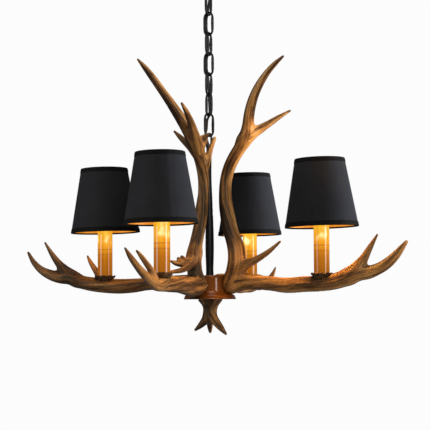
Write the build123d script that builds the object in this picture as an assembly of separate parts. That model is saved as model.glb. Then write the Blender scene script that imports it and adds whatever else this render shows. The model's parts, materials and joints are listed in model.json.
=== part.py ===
from build123d import *
import os
import math

# ---------------------------------------------------------------------------
# Antler chandelier: four shaded candle lights on cast resin antlers, hung on a
# chain from a ceiling canopy. Millimetres, +Z up, origin on the ceiling at the
# centre of the crossbar. Right arm +X, left arm -X, front arm -Y, back arm +Y.
# ---------------------------------------------------------------------------

# ceiling fitting
CANOPY_R = 65.0            # rim radius of the canopy cover
CANOPY_H = 18.0            # ceiling to the cover's flat underside
CANOPY_WALL = 1.2
CROSSBAR = (110.0, 18.0, 2.5)
BOX_SCREW_SPACING = 70.0   # ceiling box screw holes
BOX_SCREW_R = 2.25
NIPPLE_R = 5.0             # threaded tube through crossbar and cover
CORD_HOLE_AT = (20.0, -55.0)   # bushing: radius, angle in degrees

# chain
WIRE_R = 2.0               # link wire
LINK_HALF_W = 8.5          # centreline half width of a link
PITCH = 37.8               # contact to contact
CHAIN_TOP = -49.0          # contact of the canopy loop and the first link
RUN_GAP = 0.3              # running gap between two links
LINK_YAW = (80.0, -10.0, 80.0, -10.0, 80.0, -36.0, 54.0)   # plane of each link
CANOPY_LOOP_YAW = -10.0
TOP_LOOP_YAW = -36.0

# power cord, laced through the chain and down inside the rod
CORD_R = 2.2

# centre rod, hub and spindle
ROD = ((-573.5, 7.2), (-566.0, 6.9), (-540.0, 7.5), (-508.0, 7.8), (-480.0, 7.2),
       (-452.0, 6.3), (-420.0, 5.0), (-390.0, 4.1), (-372.0, 4.2), (-355.0, 4.4))
ROD_BORE_R = 2.6
HUB_R = 37.0
HUB_TOP = -573.5
HUB_BOTTOM = -609.0
FLANGE_R = 48.0            # lower edge of its sloping rim
FLANGE_BOTTOM = -617.0
SPINDLE_R = 4.8
SPINDLE = (-641.0, -561.0)

# lights
LIGHT_R = 214.5            # hub axis to candle axis
SEAT_Z = -578.0            # flat seat for the cup on each arm
SLEEVE_R = 14.0
SLEEVE = (-576.0, -471.5)
SOCKET_R = 10.5
SHADE = (-489.7, -367.8)                # lower and upper edge
SHADE_R = {"left": (65.2, 44.2), "front": (63.0, 42.3), "back": (63.0, 42.5), "right": (65.6, 44.4)}   # at those edges
SHADE_WALL = 1.2
SHADE_TRIM = (9.0, 7.5, 0.6)            # lower band, upper band, stand-out
WIRE_Z = -590.0            # height of the wire channel in the arms
UPRIGHT_SEAT_Z = -577.0    # butt joint between arm and upright

# Stations of every antler branch: x, y, z, radius.
ARM_LEFT = {
    "beam": [
        (-23.1, 0.0, -589.6, 18.1), (-43.1, 0.0, -588.5, 16.6), (-67.3, 0.0, -587.5, 14.8),
        (-93.7, 0.0, -587.2, 13.0), (-120.9, 0.0, -587.6, 12.2), (-151.7, 0.0, -590.7, 13.2),
        (-185.4, 0.0, -591.8, 14.0), (-216.3, 0.0, -590.2, 14.1), (-241.8, 0.0, -587.4, 13.5),
        (-267.6, 0.0, -582.2, 13.0), (-289.1, 0.0, -574.6, 13.4), (-308.7, 0.0, -574.0, 11.9),
        (-332.7, 0.0, -568.3, 9.1), (-352.8, 0.0, -558.3, 6.4), (-369.9, 0.0, -542.5, 3.7),
        (-381.9, 0.0, -523.9, 1.6),
    ],
    "tine": [
        (-276.2, 0.0, -578.2, 11.9), (-297.1, 2.0, -563.7, 10.4), (-314.6, 4.0, -548.6, 7.1),
        (-331.0, 6.0, -530.2, 4.8), (-348.9, 8.0, -505.5, 1.6),
    ],
    "tine3": [
        (-221.5, 6.0, -584.5, 9.5), (-237.5, 18.0, -568.9, 6.5), (-250.1, 22.0, -554.3, 5.0),
        (-259.0, 25.0, -543.5, 3.7), (-266.6, 28.0, -532.2, 1.5),
    ],
}
ARM_FRONT = {
    "beam": [
        (0.0, -29.8, -595.2, 20.0), (0.0, -60.5, -594.8, 19.4), (0.0, -97.3, -593.2, 17.3),
        (0.0, -137.4, -591.5, 14.8), (0.0, -180.4, -591.4, 13.5), (0.0, -214.0, -590.3, 13.6),
        (0.0, -234.0, -592.4, 10.4), (0.0, -256.0, -587.0, 8.4), (0.0, -289.1, -574.2, 7.4),
        (0.0, -314.8, -561.4, 6.0), (0.0, -337.8, -548.0, 4.4), (0.0, -357.0, -535.1, 1.4),
    ],
    "tine": [
        (1.5, -238.0, -584.0, 8.0), (0.9, -245.5, -573.5, 7.0), (-1.4, -256.2, -564.8, 5.8),
        (-3.6, -270.0, -555.2, 4.9), (-4.6, -286.6, -546.1, 3.8), (-5.3, -303.0, -537.5, 1.6),
    ],
}
ARM_BACK = {
    "beam": [
        (0.0, 22.4, -591.4, 19.4), (0.0, 37.1, -590.5, 19.0), (0.0, 55.7, -586.0, 17.5),
        (0.0, 71.3, -584.7, 15.4), (0.0, 90.6, -586.9, 13.0), (0.0, 117.4, -589.2, 12.4),
        (0.0, 145.8, -592.4, 13.1), (0.0, 182.3, -590.8, 13.9), (0.0, 212.2, -589.9, 14.0),
        (0.0, 240.8, -586.0, 14.1), (0.0, 262.9, -584.1, 14.6), (0.0, 283.0, -583.4, 13.0),
        (0.0, 299.0, -583.9, 11.0), (0.0, 315.0, -581.8, 8.4), (0.0, 332.0, -576.3, 6.6),
        (0.0, 345.0, -569.6, 5.0), (0.0, 357.5, -561.0, 3.2), (0.0, 369.1, -551.8, 1.4),
    ],
    "tine": [
        (0.0, 264.7, -583.1, 12.3), (-14.0, 280.0, -575.6, 10.2), (-27.0, 292.0, -565.8, 7.4),
        (-40.0, 304.3, -553.0, 5.0), (-52.0, 316.0, -538.0, 1.4),
    ],
}
ARM_RIGHT = {
    "beam": [
        (22.4, 0.0, -591.4, 19.4), (37.1, 0.0, -590.5, 19.0), (55.7, 0.0, -586.0, 17.5),
        (71.3, 0.0, -584.7, 15.4), (90.6, 0.0, -586.9, 13.0), (117.4, 0.0, -589.2, 12.4),
        (145.8, 0.0, -592.4, 13.1), (182.3, 0.0, -590.8, 13.9), (212.2, 0.0, -589.9, 14.0),
        (240.8, 0.0, -585.7, 14.1), (262.9, 0.0, -578.6, 14.6), (283.0, 0.0, -572.8, 13.0),
        (299.0, 0.0, -571.6, 11.0), (315.0, 0.0, -566.6, 9.0), (332.0, 0.0, -557.3, 7.6),
        (345.0, 0.0, -546.2, 6.0), (357.5, 0.0, -532.2, 4.2), (368.0, 0.0, -519.0, 2.2),
    ],
    "tine": [
        (264.7, 0.0, -577.0, 12.3), (280.0, -2.0, -563.2, 11.2), (292.0, -4.0, -547.9, 7.7),
        (304.3, -6.0, -528.2, 5.1), (318.5, -8.0, -506.0, 1.4),
    ],
}
UPRIGHT_FRONT = {
    "trunk": [
        (-7.0, -48.1, -576.6, 13.7), (-8.6, -50.9, -564.0, 13.7), (-9.2, -53.3, -538.8, 13.7),
        (-7.2, -50.4, -522.5, 12.3), (-5.4, -46.4, -508.0, 11.8), (-3.0, -37.9, -480.5, 11.4),
        (-1.7, -33.0, -452.0, 11.3), (0.9, -30.9, -418.2, 9.7), (1.6, -32.8, -395.5, 10.0),
        (1.5, -39.3, -375.9, 10.7), (1.0, -49.2, -359.5, 11.4), (-0.8, -60.7, -343.4, 11.9),
        (-4.8, -73.1, -326.4, 11.5), (-10.8, -86.3, -307.8, 10.6), (-18.0, -100.0, -289.3, 9.6),
        (-26.8, -115.5, -268.6, 8.7), (-35.4, -130.8, -249.8, 7.3), (-46.2, -146.0, -228.4, 6.3),
        (-56.7, -159.9, -209.7, 4.6), (-65.4, -169.9, -196.7, 1.4),
    ],
    "tine2": [
        (2.0, -58.5, -349.6, 10.1), (5.5, -75.4, -331.7, 9.0), (8.4, -96.9, -314.6, 7.5),
        (10.4, -118.7, -298.7, 5.8), (11.7, -138.7, -286.4, 4.2), (11.6, -154.9, -276.9, 2.2),
    ],
    "crown1": [
        (-4.2, -60.0, -348.6, 8.3), (-16.7, -62.8, -336.8, 7.0), (-29.6, -63.7, -324.5, 4.8),
        (-42.3, -63.5, -312.3, 1.8),
    ],
    "crown2": [
        (-2.4, -57.1, -333.8, 9.0), (5.4, -58.2, -329.6, 7.0), (13.9, -58.0, -324.8, 4.7),
        (21.4, -58.2, -319.8, 2.0),
    ],
    "crown3": [
        (8.0, -37.8, -371.5, 8.0), (13.9, -37.5, -355.4, 6.0), (18.8, -36.6, -340.9, 4.7),
        (23.6, -35.8, -328.6, 3.8), (25.3, -35.1, -324.6, 2.9),
    ],
    "brow": [
        (-5.0, -51.0, -534.0, 9.5), (-10.5, -64.7, -547.0, 9.0), (-15.5, -77.4, -552.0, 7.4),
        (-20.1, -90.1, -553.5, 6.0), (-24.4, -102.6, -552.3, 4.3), (-28.7, -113.0, -549.4, 1.6),
    ],
    "knob1": [
        (-19.3, -87.6, -550.6, 4.6), (-21.5, -91.7, -546.0, 3.7), (-22.1, -93.0, -544.6, 3.6),
    ],
    "knob2": [
        (-16.6, -75.7, -547.9, 5.2), (-20.2, -79.4, -542.7, 3.9), (-20.8, -80.7, -541.5, 3.6),
    ],
    "crown4": [
        (0.1, -53.9, -346.3, 8.0), (6.5, -54.5, -341.4, 6.1), (13.0, -55.1, -336.6, 4.2),
        (18.8, -54.9, -330.5, 1.8),
    ],
    "spur": [
        (-7.0, -56.8, -548.0, 8.8), (-8.2, -74.5, -556.6, 6.8), (-9.2, -96.5, -562.9, 5.4),
        (-9.5, -124.6, -567.0, 4.4), (-7.8, -156.3, -569.1, 3.0),
    ],
}
UPRIGHT_RIGHT = {
    "trunk": [
        (45.5, -6.0, -575.9, 12.7), (50.4, -6.0, -564.2, 13.8), (54.1, -5.0, -547.8, 14.9),
        (53.9, -4.0, -527.8, 15.1), (48.6, -3.0, -509.4, 13.9), (42.5, -2.0, -492.8, 13.5),
        (35.9, 0.0, -464.4, 13.4), (32.2, 0.0, -438.4, 12.1), (31.7, 0.0, -417.0, 11.2),
        (33.2, 0.0, -399.8, 10.8), (38.3, 0.0, -379.9, 10.5), (49.7, -1.0, -357.1, 10.6),
        (63.2, -2.0, -337.6, 11.0), (73.9, -3.0, -319.0, 11.5), (80.2, -9.0, -300.8, 10.2),
        (84.9, -16.0, -283.6, 9.1), (90.9, -23.0, -268.0, 8.5), (102.3, -33.0, -248.1, 7.6),
        (117.3, -43.0, -229.7, 6.6), (133.4, -51.0, -214.1, 5.3), (150.5, -59.0, -201.6, 3.9),
        (168.6, -67.0, -190.8, 1.4),
    ],
    "tine2": [
        (69.1, -3.0, -327.9, 10.2), (82.1, -1.0, -318.7, 9.7), (96.3, 3.0, -309.4, 8.0),
        (113.0, 7.0, -298.9, 5.8), (131.7, 10.0, -287.5, 4.0), (153.8, 13.0, -275.8, 1.5),
    ],
    "brow": [
        (56.0, -5.0, -557.9, 10.9), (69.9, -6.0, -554.7, 8.0), (87.3, -9.0, -548.9, 6.3),
        (105.0, -12.0, -540.6, 4.9), (123.3, -15.0, -529.6, 3.6), (143.4, -19.0, -514.6, 1.4),
    ],
}
FINIAL = {
    "stem": [
        (0.6, 0.2, -617.0, 23.0), (0.7, 0.2, -623.6, 18.2), (0.7, 0.3, -630.0, 14.8),
        (0.4, 0.1, -637.0, 13.2), (0.0, 0.0, -645.0, 12.4), (0.0, 0.0, -651.0, 11.4),
    ],
    "left": [
        (-1.0, -0.6, -643.0, 9.4), (-8.6, -1.7, -655.0, 7.6), (-18.4, -1.1, -664.8, 5.4),
        (-28.9, -0.9, -673.2, 2.0),
    ],
    "right": [
        (2.2, -2.1, -643.0, 9.8), (11.9, -4.6, -656.0, 8.2), (23.0, -6.6, -668.2, 6.0),
        (34.1, -7.8, -679.9, 2.0),
    ],
    "mid": [
        (-1.4, 3.5, -644.0, 8.4), (-4.1, 9.0, -658.0, 6.4), (-5.9, 13.8, -668.7, 4.6),
        (-6.9, 17.7, -677.1, 2.4),
    ],
}

LIGHTS = {"left": 180.0, "front": -90.0, "back": 90.0, "right": 0.0}


def polar(radius, angle, z=0.0):
    a = math.radians(angle)
    return Vector(radius * math.cos(a), radius * math.sin(a), z)


def rod_between(p, q, r):
    """Round bar from p to q."""
    d = q - p
    return Solid.make_cylinder(r, d.length, Plane(origin=p, z_dir=d.normalized()))


def tube(r_out, r_in, z0, z1, at=Vector(0, 0, 0)):
    base = Plane(origin=Vector(at.X, at.Y, z0))
    body = Solid.make_cylinder(r_out, z1 - z0, base)
    if r_in:
        body = body.cut(Solid.make_cylinder(r_in, z1 - z0 + 2, Plane(origin=Vector(at.X, at.Y, z0 - 1))))
    return body


def one(shape):
    """The largest solid of a shape."""
    return sorted(shape.solids(), key=lambda s: s.volume)[-1]


def turned(profile, at=Vector(0, 0, 0)):
    """Solid of revolution about the vertical through `at` from (radius, z) points."""
    face = make_face(Polyline(*[(r, 0, z) for r, z in profile], close=True))
    solid = one(revolve(face, axis=Axis.Z, revolution_arc=360))
    return solid.moved(Location((at.X, at.Y, 0)))


def branch(rows):
    """Tapered round branch through stations (x, y, z, radius)."""
    pts = [Vector(*r[:3]) for r in rows]
    wires, side = [], None
    for i, row in enumerate(rows):
        t = (pts[min(i + 1, len(pts) - 1)] - pts[max(i - 1, 0)]).normalized()
        if side is None:
            side = Vector(0, 1, 0) if abs(t.Y) < 0.8 else Vector(1, 0, 0)
        side = (side - t * side.dot(t)).normalized()
        wires.append(Wire.make_circle(row[3], Plane(origin=pts[i], x_dir=side, z_dir=t)))
    return Solid.make_loft(wires, False)


def casting(branches):
    solids = [branch(rows) for rows in branches.values()]
    body = solids[0]
    for s in solids[1:]:
        body = one(body.fuse(s))
    return body


def hexagon(across, z0, z1, bore, at=Vector(0, 0, 0)):
    r = across / math.sqrt(3)
    pts = [(at.X + r * math.cos(math.radians(60 * i)), at.Y + r * math.sin(math.radians(60 * i)), z0) for i in range(6)]
    body = one(extrude(make_face(Polyline(*pts, close=True)), amount=z1 - z0, dir=(0, 0, 1)))
    return body.cut(Solid.make_cylinder(bore, z1 - z0 + 2, Plane(origin=Vector(at.X, at.Y, z0 - 1)))).solids()[0]


def oval_ring(half_w, z_top, z_bottom, r, yaw):
    """Closed oval of round wire in a vertical plane; z_top and z_bottom are wire centres."""
    zt, zb = z_top - half_w, z_bottom + half_w
    if zt - zb < 0.01:
        return Solid.make_torus(half_w, r, Plane(origin=(0, 0, zt), x_dir=(1, 0, 0), z_dir=(0, -1, 0))).rotate(Axis.Z, yaw)
    top = Solid.make_torus(half_w, r, Plane(origin=(0, 0, zt), x_dir=(1, 0, 0), z_dir=(0, -1, 0)), major_angle=180)
    low = Solid.make_torus(half_w, r, Plane(origin=(0, 0, zb), x_dir=(-1, 0, 0), z_dir=(0, -1, 0)), major_angle=180)
    sides = [Solid.make_cylinder(r, zt - zb, Plane(origin=(s * half_w, 0, zb))) for s in (-1, 1)]
    ring = top
    for s in sides + [low]:
        ring = ring.fuse(s)
    return one(ring).rotate(Axis.Z, yaw)


def write(name, *shapes):
    solids = [s for shape in shapes for s in shape.solids()]
    for s in solids:
        if not s.is_valid or s.volume <= 0:
            print("check", name, s.is_valid, s.volume)
    body = solids[0] if len(solids) == 1 else Compound(children=solids)
    body.label = name
    export_step(body, f"parts/{name}.step")


os.makedirs("parts", exist_ok=True)

# --- ceiling fitting -------------------------------------------------------
bx, by, bz = CROSSBAR
bar = Solid.make_box(bx, by, bz).moved(Location((-bx / 2, -by / 2, -bz)))
for x in (-BOX_SCREW_SPACING / 2, BOX_SCREW_SPACING / 2):
    bar = bar.cut(Solid.make_cylinder(BOX_SCREW_R, 10, Plane(origin=(x, 0, -5)))).solids()[0]
bar = bar.cut(Solid.make_cylinder(NIPPLE_R + 0.05, 10, Plane(origin=(0, 0, -5)))).solids()[0]
write("canopy_crossbar", bar)

h, w = CANOPY_H, CANOPY_WALL
cover = turned([(CANOPY_R, 0), (CANOPY_R, -2.0), (CANOPY_R - 1.5, -6.0), (CANOPY_R - 6, -11.0), (CANOPY_R - 15, -15.2),
                (CANOPY_R - 26, -h + 0.6), (CANOPY_R - 31, -h), (NIPPLE_R + 0.2, -h), (NIPPLE_R + 0.2, -h + w),
                (CANOPY_R - 31, -h + w), (CANOPY_R - 26.4, -h + 0.6 + w), (CANOPY_R - 15.5, -15.2 + w),
                (CANOPY_R - 7, -11.0 + w), (CANOPY_R - 2.9, -6.0 + 0.4), (CANOPY_R - 2.5, -2.0), (CANOPY_R - 2.5, 0)])
hole_at = polar(*CORD_HOLE_AT)
cover = cover.cut(Solid.make_cylinder(5.1, 10, Plane(origin=(hole_at.X, hole_at.Y, -h - 4)))).solids()[0]
write("canopy_cover", cover)

write("canopy_nipple", tube(NIPPLE_R, 3.0, -34.0, 0.0))
write("canopy_nuts", hexagon(14.0, -6.5, -2.5, NIPPLE_R + 0.05), hexagon(14.0, -CANOPY_H + CANOPY_WALL, -CANOPY_H + CANOPY_WALL + 3.5, NIPPLE_R + 0.05))

ring = turned([(NIPPLE_R + 0.05, -h - 4.5), (9.5, -h - 4.5), (11.0, -h - 3.2), (11.0, -h - 1.0), (10.0, -h), (NIPPLE_R + 0.05, -h)])
for i in range(24):
    ring = ring.cut(Solid.make_cylinder(0.5, 8, Plane(origin=polar(11.25, 15 * i, -h - 6)))).solids()[0]
write("canopy_ring", ring)

contacts = [CHAIN_TOP - PITCH * k for k in range(8)]
half_gap = WIRE_R + RUN_GAP / 2
loop = oval_ring(7.5, contacts[0] - half_gap + 15.0, contacts[0] - half_gap, WIRE_R, CANOPY_LOOP_YAW)
collar = turned([(NIPPLE_R + 0.05, -h - 4.5), (8.5, -h - 4.5), (8.5, -h - 12.0), (6.0, -h - 18.2), (0, -h - 18.2), (0, -h - 16.2), (NIPPLE_R + 0.05, -h - 16.2)])
write("canopy_loop", one(loop.fuse(collar)))

write("cord_bushing", turned([(CORD_R + 0.1, -h - 5), (5.2, -h - 5), (7.0, -h - 2.5), (7.0, -h), (5.0, -h), (5.0, -h + w), (6.4, -h + w), (6.4, -h + w + 1.6), (CORD_R + 0.1, -h + w + 1.6)], hole_at))
write("canopy_connector", turned([(CORD_R + 0.1, -12.5), (5.4, -12.5), (4.2, -1.2), (0, -1.2), (0, -8.0), (CORD_R + 0.1, -8.0)], hole_at))

# --- chain -------------------------------------------------------------------
for i, yaw in enumerate(LINK_YAW):
    write(f"chain_link_{i + 1}", oval_ring(LINK_HALF_W, contacts[i] + half_gap, contacts[i + 1] - half_gap, WIRE_R, yaw))

# --- power cord: in at the canopy, through the chain, down the rod to the hub ---
c = contacts
cord_points = [
    polar(20.0, -55, -8.2), polar(20.0, -55, -30.5), polar(16.4, -55, -47.0), polar(11.2, -54, -66.0), polar(8.0, -55, c[1]),
    polar(3.6, 168, c[1] - 20.2), polar(7.6, 125, c[2]), polar(7.0, 117, c[2] - 18.9), polar(7.6, 125, c[3]),
    polar(3.6, 168, c[3] - 17.6), polar(8.0, -55, c[4]), polar(8.0, -62, c[4] - 18.9), polar(9.9, -68, c[5]),
    polar(8.6, -76, c[5] - 18.9), polar(7.9, -81, c[6]), polar(3.6, 236, c[6] - 20.2), polar(8.0, 189, c[7]),
    polar(2.2, 189, -328.5), Vector(0, 0, -339.5), Vector(0, 0, -588.0),
]
radii = []
for a, b, d in zip(cord_points, cord_points[1:], cord_points[2:]):
    turn = (b - a).get_angle(d - b)
    radii.append(0.45 * min((b - a).length, (d - b).length) / math.tan(math.radians(max(turn, 0.5) / 2)))
print("cord radii", [round(r) for r in radii])
path = FilletPolyline(*cord_points, radius=radii)
cord = one(sweep(Plane(origin=cord_points[0], z_dir=path % 0) * Circle(CORD_R), path=path))
print("cord length", round(path.length, 1), "volume ratio", round(cord.volume / (path.length * math.pi * CORD_R ** 2), 4))
write("power_cord", cord)

# --- top loop and centre rod ---------------------------------------------------
loop = oval_ring(7.8, contacts[7] + half_gap, -341.0, WIRE_R, TOP_LOOP_YAW)
neck = turned([(0, -336.5), (4.0, -336.5), (5.2, -340.0), (5.2, -350.0), (4.6, -355.0), (3.25, -355.0), (3.25, -365.0), (0, -365.0)])
loop = one(loop.fuse(neck)).cut(Solid.make_cylinder(ROD_BORE_R, 40, Plane(origin=(0, 0, -367)))).solids()[0]
loop = loop.cut(Solid.make_cone(ROD_BORE_R, 4.0, 10.0, Plane(origin=(0, 0, -346.0)))).solids()[0]
write("top_loop", one(loop))

outer = Spline(*[(r, 0, z) for z, r in ROD])
z_low, z_high = ROD[0][0], ROD[-1][0]
edge = Polyline((ROD[-1][1], 0, z_high), (3.3, 0, z_high), (3.3, 0, z_high - 10.2), (ROD_BORE_R, 0, z_high - 10.2), (ROD_BORE_R, 0, -560.5), (SPINDLE_R + 0.05, 0, -560.5), (SPINDLE_R + 0.05, 0, z_low), (ROD[0][1], 0, z_low))
rod = one(revolve(make_face(outer.edges() + edge.edges()), axis=Axis.Z, revolution_arc=360))
write("centre_rod", rod)

# --- hub ---------------------------------------------------------------------
hub = turned([(SPINDLE_R + 0.1, HUB_TOP), (HUB_R - 2.5, HUB_TOP), (HUB_R - 0.7, HUB_TOP - 0.7), (HUB_R, HUB_TOP - 2.5), (HUB_R, HUB_BOTTOM), (HUB_R - 3, HUB_BOTTOM),
              (HUB_R - 3, HUB_TOP - 4), (SPINDLE_R + 0.1, HUB_TOP - 4)])
flange_arc = [(HUB_R + 5.05 - 5.0 * math.cos(t), -601.5 - 5.0 * math.sin(t)) for t in [math.radians(15 * i) for i in range(7)]]
flange = turned([(HUB_R + 0.05, HUB_BOTTOM)] + flange_arc + [(FLANGE_R - 2.6, -606.9), (FLANGE_R - 1.5, -607.8), (FLANGE_R, -614.6), (FLANGE_R - 0.4, -616.4), (FLANGE_R - 1.4, FLANGE_BOTTOM),
                                                             (SPINDLE_R + 0.1, FLANGE_BOTTOM), (SPINDLE_R + 0.1, HUB_BOTTOM)])
bolts = []
for angle in LIGHTS.values():
    out = polar(1, angle)
    side = polar(1, angle + 90)
    hub = hub.cut(rod_between(out * 30 + Vector(0, 0, WIRE_Z), out * 42 + Vector(0, 0, WIRE_Z), 3.2)).solids()[0]
    for t in (-8.0, 8.0):
        at = side * t + Vector(0, 0, WIRE_Z - 2)
        hub = hub.cut(rod_between(out * 30 + at, out * 42 + at, 2.6)).solids()[0]
        head = rod_between(out * 26.5 + at, out * 30.5 + at, 4.0)
        bolts.append(one(head.fuse(rod_between(out * 30.0 + at, out * 54.0 + at, 2.5))))
write("hub_body", hub)
write("hub_flange", flange)
spindle = tube(SPINDLE_R, 2.9, *SPINDLE).cut(Solid.make_box(8, 4, 16).moved(Location((0, -2, -600)))).solids()[0]
write("hub_spindle", one(spindle))
write("hub_nuts", hexagon(14.0, HUB_TOP - 8.0, HUB_TOP - 4.0, SPINDLE_R + 0.05), hexagon(14.0, HUB_BOTTOM, HUB_BOTTOM + 4.0, SPINDLE_R + 0.05))
write("arm_bolts", *bolts)
write("wire_connectors", *[turned([(0, -606.5), (5.0, -606.5), (4.0, -592.0), (0, -592.0)], polar(19.0, a)) for a in (45, 135, 225, 315)])

# --- antlers --------------------------------------------------------------------
hub_space = Solid.make_cylinder(HUB_R + 0.05, 60, Plane(origin=(0, 0, HUB_TOP - 60)))
flange_space = turned([(0, -640.0), (FLANGE_R + 0.4, -640.0), (FLANGE_R + 0.4, -606.2), (HUB_R + 5.5, -605.8), (HUB_R + 1.7, -603.3), (HUB_R - 0.6, -599.0), (0, -599.0)])


def light_path(start, end_z):
    return FilletPolyline((start, 0, WIRE_Z), (LIGHT_R, 0, WIRE_Z), (LIGHT_R, 0, end_z), radius=9.0)


def along(path, r):
    return one(sweep(Plane(origin=path @ 0, z_dir=path % 0) * Circle(r), path=path))


def finish_arm(body, angle):
    """Saddle against the hub, flat cup seat, bolt holes, nipple hole and wire channel."""
    out, side = polar(1, angle), polar(1, angle + 90)
    body = one(body.cut(hub_space))
    body = one(body.cut(flange_space))
    lamp = out * LIGHT_R
    body = one(body.cut(Solid.make_cylinder(19.0, 26, Plane(origin=Vector(lamp.X, lamp.Y, SEAT_Z)))))
    for t in (-8.0, 8.0):
        at = side * t + Vector(0, 0, WIRE_Z - 2)
        body = one(body.cut(rod_between(out * 30 + at, out * 55 + at, 2.55)))
    body = one(body.cut(Solid.make_cylinder(SPINDLE_R + 0.05, 12, Plane(origin=Vector(lamp.X, lamp.Y, SEAT_Z - 4.6)))))
    return one(body.cut(along(light_path(20.0, SEAT_Z + 2), 3.0).rotate(Axis.Z, angle)))


DOWEL = {"right": (46.8, -6.0), "front": (-7.2, -48.4)}
dowels = []
arms = {"left": ARM_LEFT, "front": ARM_FRONT, "back": ARM_BACK, "right": ARM_RIGHT}
for name, angle in LIGHTS.items():
    body = finish_arm(casting(arms[name]), angle)
    if name in DOWEL:
        x, y = DOWEL[name]
        body = one(body.cut(Solid.make_cylinder(18.0, 14, Plane(origin=(x, y, UPRIGHT_SEAT_Z)))))
        body = one(body.cut(Solid.make_cylinder(3.05, 12, Plane(origin=(x, y, UPRIGHT_SEAT_Z - 9.5)))))
        dowels.append(Solid.make_cylinder(3.0, 24, Plane(origin=(x, y, UPRIGHT_SEAT_Z - 9.0))))
    write(f"arm_antler_{name}", body)

for name, stations in (("front", UPRIGHT_FRONT), ("right", UPRIGHT_RIGHT)):
    x, y = DOWEL[name]
    fx, fy, fz, fr = stations["trunk"][0]
    nx, ny, nz, _ = stations["trunk"][1]
    foot = (fx - (nx - fx) * 0.9, fy - (ny - fy) * 0.9, fz - (nz - fz) * 0.9, fr)
    body = casting({**stations, "trunk": [foot] + stations["trunk"]})
    body = one(body.cut(Solid.make_box(200, 200, 60).moved(Location((-100 + x, -100 + y, UPRIGHT_SEAT_Z - 60)))))
    body = one(body.cut(hub_space.moved(Location((0, 0, 0.25)))))
    body = one(body.cut(Solid.make_cylinder(3.05, 15.2, Plane(origin=(x, y, UPRIGHT_SEAT_Z)))))
    write(f"upright_antler_{name}", body)
write("upright_dowels", *dowels)

finial = casting(FINIAL)
finial = one(finial.cut(Solid.make_cylinder(SPINDLE_R + 0.05, 30, Plane(origin=(0, 0, -642)))))
finial = one(finial.cut(Solid.make_box(100, 100, 20).moved(Location((-50, -50, FLANGE_BOTTOM)))))
write("finial_antler", finial)

# --- lights -----------------------------------------------------------------------
wires, nipples, nuts = [], [], []
z0, z1 = SHADE
low_band, top_band, proud = SHADE_TRIM


BULB = ((6.6, -470.0), (8.0, -466.5), (12.0, -459.0), (15.8, -449.0), (17.0, -440.0), (16.3, -429.0), (13.3, -417.0), (8.6, -406.0), (4.4, -398.5), (1.6, -394.4), (0.0, -393.4))
CLIP = ((1.9, -387.0), (6.6, -392.2), (12.4, -404.5), (16.6, -417.5), (18.9, -431.0), (19.2, -438.0))

for name, angle in LIGHTS.items():
    lamp = polar(LIGHT_R, angle)
    wires.append(along(light_path(25.5, -526.0), 1.6).rotate(Axis.Z, angle))
    nipples.append(tube(SPINDLE_R, 3.0, SEAT_Z - 4.5, -524.5, lamp))
    nuts.append(hexagon(14.0, SLEEVE[0], SLEEVE[0] + 4.0, SPINDLE_R + 0.05, lamp))
    write(f"candle_cup_{name}", turned([(SPINDLE_R + 0.05, SEAT_Z), (12.0, SEAT_Z), (15.4, SEAT_Z + 2.0), (17.6, SEAT_Z + 5.0), (18.4, SEAT_Z + 8.0), (17.4, SEAT_Z + 9.4),
                                        (15.6, SEAT_Z + 8.6), (14.4, SEAT_Z + 5.6), (14.4, SLEEVE[0]), (SPINDLE_R + 0.05, SLEEVE[0])], lamp))
    write(f"candle_sleeve_{name}", tube(SLEEVE_R, SLEEVE_R - 1.2, *SLEEVE, lamp))
    write(f"lamp_socket_{name}", turned([(SPINDLE_R + 0.05, -530.0), (9.0, -530.0), (SOCKET_R, -527.5), (SOCKET_R, -474.5), (SOCKET_R - 1.5, -473.0), (6.3, -473.0), (6.3, -492.2),
                                         (2.0, -492.2), (2.0, -524.0), (SPINDLE_R + 0.05, -524.0)], lamp))
    glass = turned([(0, -470.0)] + list(BULB), lamp)
    cap = turned([(0, -491.8), (2.4, -491.8), (3.0, -490.6), (5.9, -489.0), (5.9, -470.0), (0, -470.0)], lamp)
    write(f"bulb_{name}", glass, cap)

    r0, r1 = SHADE_R[name]

    def shade_r(z):
        return r0 + (r1 - r0) * (z - z0) / (z1 - z0)

    t = SHADE_WALL
    zl, zt = z0 + low_band, z1 - top_band
    hem = [(shade_r(z0 + dz) - t - dr, z0 + dz) for dz, dr in ((4.0, 0), (3.5, 1.5), (2.2, 2.2), (0.9, 1.8), (0, 0.6))]
    write(f"shade_{name}", turned([(shade_r(z0) + proud, z0), (shade_r(zl) + proud, zl), (shade_r(zl), zl), (shade_r(zt), zt), (shade_r(zt) + proud, zt), (shade_r(z1) + proud, z1), (shade_r(z1) - t, z1)] + hem, lamp))
    top_r = shade_r(z1 - 2) - t - 1.35
    top_ring = Solid.make_torus(top_r, 1.2, Plane(origin=Vector(lamp.X, lamp.Y, z1 - 1.6)))
    hub_z = CLIP[0][1]
    at = Vector(lamp.X, lamp.Y, 0)
    button = Solid.make_cylinder(3.4, 4.4, Plane(origin=Vector(lamp.X, lamp.Y, hub_z - 1.6)))
    for k in range(4):
        a = angle + 45 + 90 * k
        line = FilletPolyline(*[at + polar(r, a, z) for r, z in CLIP], radius=6.0)
        button = one(button.fuse(one(sweep(Plane(origin=line @ 0, z_dir=line % 0) * Circle(0.9), path=line))))
    for k in range(3):
        a = angle + 30 + 120 * k
        button = one(button.fuse(rod_between(at + polar(1.8, a, hub_z + 0.7), at + polar(top_r - 1.5, a, z1 - 2.0), 1.0)))
    write(f"shade_frame_{name}", button, top_ring)

write("arm_wires", *wires)
write("cup_nipples", *nipples)
write("cup_nuts", *nuts)
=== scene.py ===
import json
import math

import bpy
import numpy as np
from mathutils import Matrix, Vector


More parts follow.
